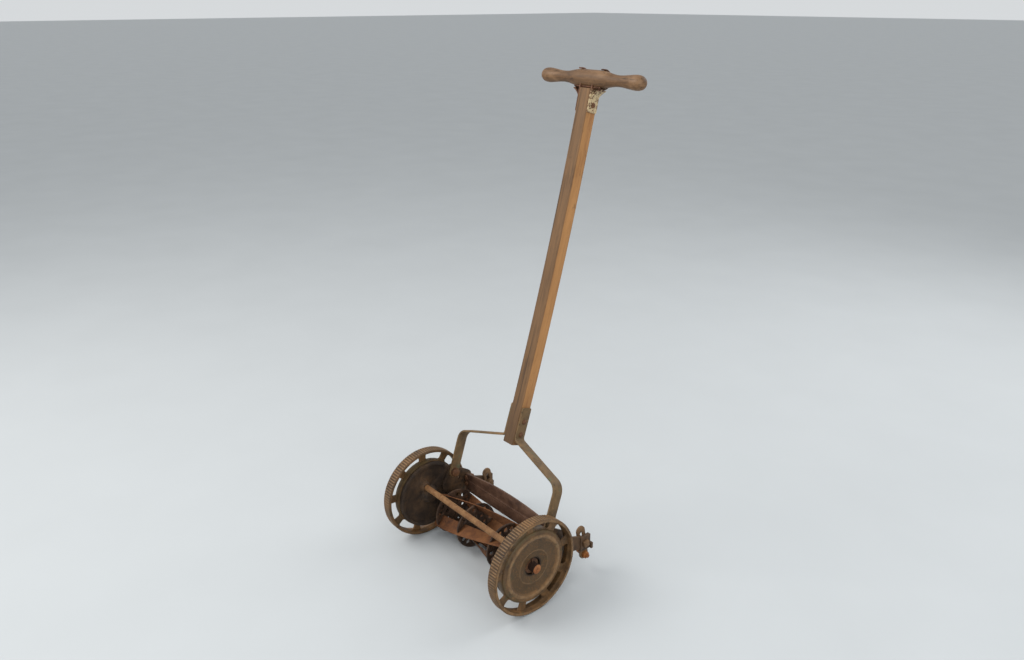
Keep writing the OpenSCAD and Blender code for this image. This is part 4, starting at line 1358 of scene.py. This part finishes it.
@dataclass
class Handle:
    """Fork, bowed wooden shaft, iron saddle and turned grip."""

    pivot: Vector = field(default_factory=lambda: Vector((0, 73, 164)))
    rake: float = 18.1
    bar_width: float = 29.0
    bar_thickness: float = 5.0
    foot_x: float = 184.0
    elbow: float = 114.0
    waist_x: float = 20.0
    waist: float = 166.0
    top: float = 248.0
    elbow_radius: float = 28.0
    waist_radius: float = 10.0
    shaft_start: float = 151.0
    shaft_length: float = 887.0
    shaft_width: float = 35.0
    shaft_depth: float = 32.0
    shaft_gap: float = 23.0
    bend: float = 5.2
    grip_half: float = 163.0
    rivets: tuple[float, ...] = (180.0, 213.0)
    bolt_drops: tuple[float, ...] = (34.0, 59.0)
    saddle_inner: float = 20.3
    saddle_thick: float = 3.0
    saddle_half: float = 42.0
    saddle_ear: float = 12.0
    saddle_start: float = 240.0

    @property
    def frame(self) -> Matrix:
        """The handle's own frame: origin on the pivot, local Z up the fork."""
        return Matrix.Translation(self.pivot) @ Matrix.Rotation(math.radians(-self.rake), 4, "X")

    def along_shaft(self, distance: float) -> Matrix:
        """Frame at a distance up the shaft's centre line.

        Args:
            distance: Distance from the shaft's lower end, in millimetres.

        Returns:
            The matrix of that station.
        """
        bow = self.shaft_length / math.radians(self.bend)
        centre = Matrix.Translation((0, -bow, self.shaft_start))
        turn = Matrix.Rotation(distance / bow, 4, "X")
        return self.frame @ centre @ turn @ Matrix.Translation((0, bow, 0))

    @property
    def grip_frame(self) -> Matrix:
        """Frame on the grip's axis."""
        return self.along_shaft(self.shaft_length)

    def fork_path(self) -> list[Vector]:
        """Centre line of the right fork bar, as (x, height) points in the handle's frame."""
        foot, top = Vector((self.foot_x, -14.5)), Vector((self.waist_x, self.top))
        elbow, waist = Vector((self.foot_x, self.elbow)), Vector((self.waist_x, self.waist))
        path = [foot] + [Vector((self.foot_x, height)) for height in (-13.2, -9, 0, 40)]
        bends = ((foot, elbow, waist, self.elbow_radius), (elbow, waist, top, self.waist_radius))
        for before, at, after, radius in bends:
            u, w = (before - at).normalized(), (after - at).normalized()
            half = math.acos(u.dot(w)) / 2
            centre = at + (u + w).normalized() * radius / math.sin(half)
            start = at + u * radius / math.tan(half) - centre
            finish = at + w * radius / math.tan(half) - centre
            sweep = start.angle_signed(finish)
            path += [centre + Matrix.Rotation(-sweep * k / 10, 2) @ start for k in range(11)]
        return path + [top - Vector((0, 6)), top - Vector((0, 1.5)), top]

    def flat_stations(self, path: Sequence[Vector], base: Matrix) -> list[Matrix]:
        """Stations of a flat bar along a path in the plane of X and height.

        Args:
            path: The path's (x, height) points.
            base: The frame that they are given in.

        Returns:
            One matrix for each point, with local Z along the path.
        """
        stations = []
        for k, p in enumerate(path):
            ahead = path[min(k + 1, len(path) - 1)] - path[max(k - 1, 0)]
            lean = Matrix.Rotation(math.atan2(ahead.x, ahead.y), 4, "Y")
            stations.append(base @ Matrix.Translation((p.x, 0, p.y)) @ lean)
        return stations

    def fork_bar(self, side: Side) -> None:
        """Sweeps one flat bar of the fork.

        Args:
            side: The bar's side.
        """
        path = self.fork_path()
        widths = [math.sqrt(max(0.02, 1 - (p.y / 14.6) ** 2)) if p.y < 0 else 1.0 for p in path]
        widths[-2:] = [0.96, 0.85]
        places = self.flat_stations(path, side.flip @ self.frame)
        stations = [place @ Matrix.Diagonal((1, width, 1, 1)) for place, width in zip(places, widths)]
        shape = Shape()
        shape.swept(rounded_box(self.bar_thickness, self.bar_width, 1.1, 2), stations)
        name = f"fork_bar_{side.label}"
        shape.done(f"{name}_bent", FORK, "handle", "fork_iron", [name], 30)

    def rivets_and_bolts(self) -> None:
        """Makes the fork's rivets and the saddle's bolts."""
        rivets, bolts, across = Shape(), Shape(), Vector((1, 0, 0))
        for side in Side:
            for height in self.rivets:
                place = self.frame @ side.flip @ turned_to(Vector((self.waist_x + 2.5, 0, height)), across)
                rivets.dome(6.8, 3.9, place, 1.2)
            for drop in self.bolt_drops:
                place = self.grip_frame @ side.flip @ turned_to(Vector((20.5, 0, -drop)), across)
                bolts.dome(6.4, 3.6, place, 1.2)
        for height in self.rivets:
            rivets.rod(4, -22, 22, self.frame @ turned_to(Vector((0, 0, height)), across))
        for drop in self.bolt_drops:
            bolts.rod(3.5, -20, 20, self.grip_frame @ turned_to(Vector((0, 0, -drop)), across))
        rivets.done("fork_rivets_domed", BOLT, "handle", "fastener_iron", ["fork_rivets"])
        bolts.done("saddle_bolts_domed", BOLT, "handle", "fastener_iron", ["saddle_bolts"])

    def shaft(self) -> None:
        """Sweeps the bowed wooden shaft."""
        shape = Shape()
        w, d, cut = self.shaft_width / 2, self.shaft_depth / 2, 2.5
        section = []
        for x, y in ((w, d), (-w, d), (-w, -d), (w, -d)):
            sx, sy = math.copysign(1, x), math.copysign(1, y)
            corner = [(x, y - sy * cut), (x - sx * cut * 0.35, y - sy * cut * 0.35), (x - sx * cut, y)]
            section += corner if sx * sy > 0 else corner[::-1]
        steps, end = 60, self.shaft_length - self.shaft_gap
        stations, lengths = [], []
        for k in range(steps + 1):
            s = end * k / steps
            dent = 1 + 0.006 * math.sin(k * 0.9) + 0.004 * math.sin(k * 2.3)
            stations.append(self.along_shaft(s) @ Matrix.Diagonal((dent, 2 - dent, 1, 1)))
            lengths.append(s / PER_METRE)
        shape.swept(section, stations, lengths)
        for v in shape.mesh.verts:
            x, y, s = v[shape.own]
            v[shape.own] = (x / PER_METRE, y / PER_METRE, s)
        shape.done("bowed_wooden_shaft", ShaftWood(), "handle", "shaft_wood", ["handle_shaft"], 30)

    def grip(self) -> None:
        """Turns the cross grip."""
        half = self.grip_half
        outline = [
            (0.0, 20.0), (0.1, 20.0), (0.18, 19.8), (0.24, 19.3), (0.3, 18.0), (0.36, 16.2), (0.42, 14.2),
            (0.48, 13.0), (0.54, 12.6), (0.6, 12.9), (0.67, 14.0), (0.74, 15.4), (0.81, 16.6), (0.86, 17.0), (0.905, 16.6),
            (0.945, 15.0), (0.972, 12.2), (0.99, 8.4), (0.998, 4.2), (1.0, 0.0),
        ]
        right = [(r, half * t) for t, r in outline]
        profile = [(r, -h) for r, h in reversed(right[1:])] + right
        shape = Shape()
        place = self.grip_frame @ Matrix.Rotation(math.pi / 2, 4, "Y")
        shape.turned(profile, place, 56)
        shape.done("turned_grip", GripWood(), "handle", "grip_wood", ["grip"])

    def saddle_strip(self, shape: Shape, width: float, middle: float, finish: float, steps: int) -> None:
        """Sweeps a strip of the saddle round the grip, from below its front.

        Args:
            shape: The shape to add to.
            width: Width of the strip along the grip.
            middle: Place of its middle along the grip.
            finish: Angle where it ends, up from the rear.
            steps: Number of steps.
        """
        reach = self.saddle_inner + self.saddle_thick / 2
        stations = []
        for k in range(steps + 1):
            a = math.radians(self.saddle_start + (finish - self.saddle_start) * k / steps)
            spot = Matrix.Translation((middle, reach * math.cos(a), reach * math.sin(a)))
            turn = Matrix.Rotation(a - math.pi / 2, 4, "X")
            narrow = Matrix.Diagonal((1 if 0 < k < steps else 0.94, 1, 1, 1))
            stations.append(self.grip_frame @ spot @ turn @ SWAPPED @ narrow)
        shape.swept(rounded_box(width, self.saddle_thick, 0.9, 1), stations)

    def saddle(self) -> None:
        """Bends the iron saddle: trough, ears over the grip and a strap down each side."""
        shape = Shape()
        half, ear = self.saddle_half, self.saddle_ear
        strap = [(-15, -14), (15, -14), (15, -73), (13.5, -76), (-13.5, -76), (-15, -73)]
        wing = [(19.6, -58), (20, -50), (21.4, -43), (25, -36.5), (31, -30.5), (37, -26.2), (41.5, -24.2)]
        self.saddle_strip(shape, 2 * half, 0, 400, 28)
        for side in Side:
            self.saddle_strip(shape, ear, side.value * (half - ear / 2), 465, 36)
            base = self.grip_frame @ side.flip
            shape.plate(strap, 17.5, 20.5, base @ AXIAL, 0.8)
            shape.swept(rounded_box(2.8, 23, 0.8, 1), self.flat_stations([Vector(p) for p in wing], base))
        shape.done("grip_saddle_bent", PAINTED, "handle", "saddle_paint", ["grip_saddle"])

    def build(self) -> None:
        """Makes the handle's pieces."""
        for side in Side:
            self.fork_bar(side)
        self.rivets_and_bolts()
        self.shaft()
        self.grip()
        self.saddle()


@dataclass
class Drive:
    """What shows of the drive and the bearings keeps its CAD shape and gets a finish."""

    finishes: dict[str, Finish] = field(
        default_factory=lambda: {
            "pinion_left": STEEL, "pinion_right": STEEL, "ratchet_dogs": STEEL, "bearing_cups": STEEL,
            "bearing_balls": STEEL, "bearing_cones": STEEL, "bed_knife_screws": BOLT,
        }
    )

    def build(self, nodes: dict[str, bpy.types.Object]) -> None:
        """Gives each CAD node that is still shown its finish.

        Args:
            nodes: The CAD nodes by name.
        """
        for name, finish in self.finishes.items():
            node = nodes[name]
            node.data.materials.clear()
            node.data.materials.append(finish.material())
            log.info("%s keeps its CAD shape", name)


@dataclass
class Studio:
    """Floor, lights and camera."""

    eye: Vector = field(default_factory=lambda: Vector((1.4897, -1.1238, 1.3362)))
    heading: Point = (-0.768, 0.641)
    pitch: float = 20.66
    lens: float = 31.04
    sky: Colour = (0.9, 0.93, 0.95)
    sky_strength: float = 0.75

    def floor(self) -> None:
        """Lays a plain pale floor."""
        bm = bmesh.new()
        bmesh.ops.create_grid(bm, x_segments=1, y_segments=1, size=60)
        data = bpy.data.meshes.new("floor")
        bm.to_mesh(data)
        bm.free()
        data.materials.append(Ground().material())
        floor = bpy.data.objects.new("floor", data)
        bpy.context.scene.collection.objects.link(floor)

    def light(self, name: str, at: Sequence[float], size: float, power: float, tone: Colour) -> None:
        """Hangs a square area light that points at the mower.

        Args:
            name: Name of the light.
            at: Where it hangs.
            size: Length of its side, in metres.
            power: Power in watts.
            tone: Its colour.
        """
        data = bpy.data.lights.new(name, "AREA")
        data.size, data.energy, data.color = size, power, tone
        lamp = bpy.data.objects.new(name, data)
        lamp.location = at
        lamp.rotation_euler = (Vector((0, 0.1, 0.35)) - Vector(at)).to_track_quat("-Z", "Y").to_euler()
        bpy.context.scene.collection.objects.link(lamp)

    def camera(self) -> None:
        """Sets up the camera."""
        data = bpy.data.cameras.new("camera")
        data.lens, data.sensor_width = self.lens, 36
        camera = bpy.data.objects.new("camera", data)
        down = math.radians(self.pitch)
        level = math.cos(down)
        gaze = Vector((self.heading[0] * level, self.heading[1] * level, -math.sin(down)))
        camera.location = self.eye
        camera.rotation_euler = gaze.to_track_quat("-Z", "Y").to_euler()
        bpy.context.scene.collection.objects.link(camera)
        bpy.context.scene.camera = camera

    def build(self) -> None:
        """Makes the studio."""
        bpy.context.scene.view_settings.view_transform = "Standard"
        self.floor()
        self.camera()
        self.light("key", (-1.6, -2.2, 3.0), 2.2, 95, (1, 0.985, 0.96))
        self.light("fill", (2.8, -1.2, 2.0), 2.6, 50, (0.95, 0.98, 1))
        self.light("rear", (0.6, 2.8, 2.4), 2.0, 40, (1, 1, 1))
        world = bpy.data.worlds.new("studio")
        bpy.context.scene.world = world
        world.use_nodes = True
        sky = world.node_tree.nodes["Background"].inputs
        sky["Color"].default_value = (*self.sky, 1)
        sky["Strength"].default_value = self.sky_strength


def main() -> None:
    """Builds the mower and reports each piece."""
    logging.basicConfig(level=logging.INFO, format="%(name)s: %(message)s")
    for old in list(bpy.data.objects):
        bpy.data.objects.remove(old)
    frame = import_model()
    Studio().build()
    for side in Side:
        Wheel(side).build()
        Hub(side).build()
        RollerBracket(side).build()
    Frame().build()
    Reel().build()
    CuttingBed().build()
    Handle().build()
    Drive().build(frame["nodes"])
    bpy.context.view_layer.update()


if __name__ == "__main__":
    main()
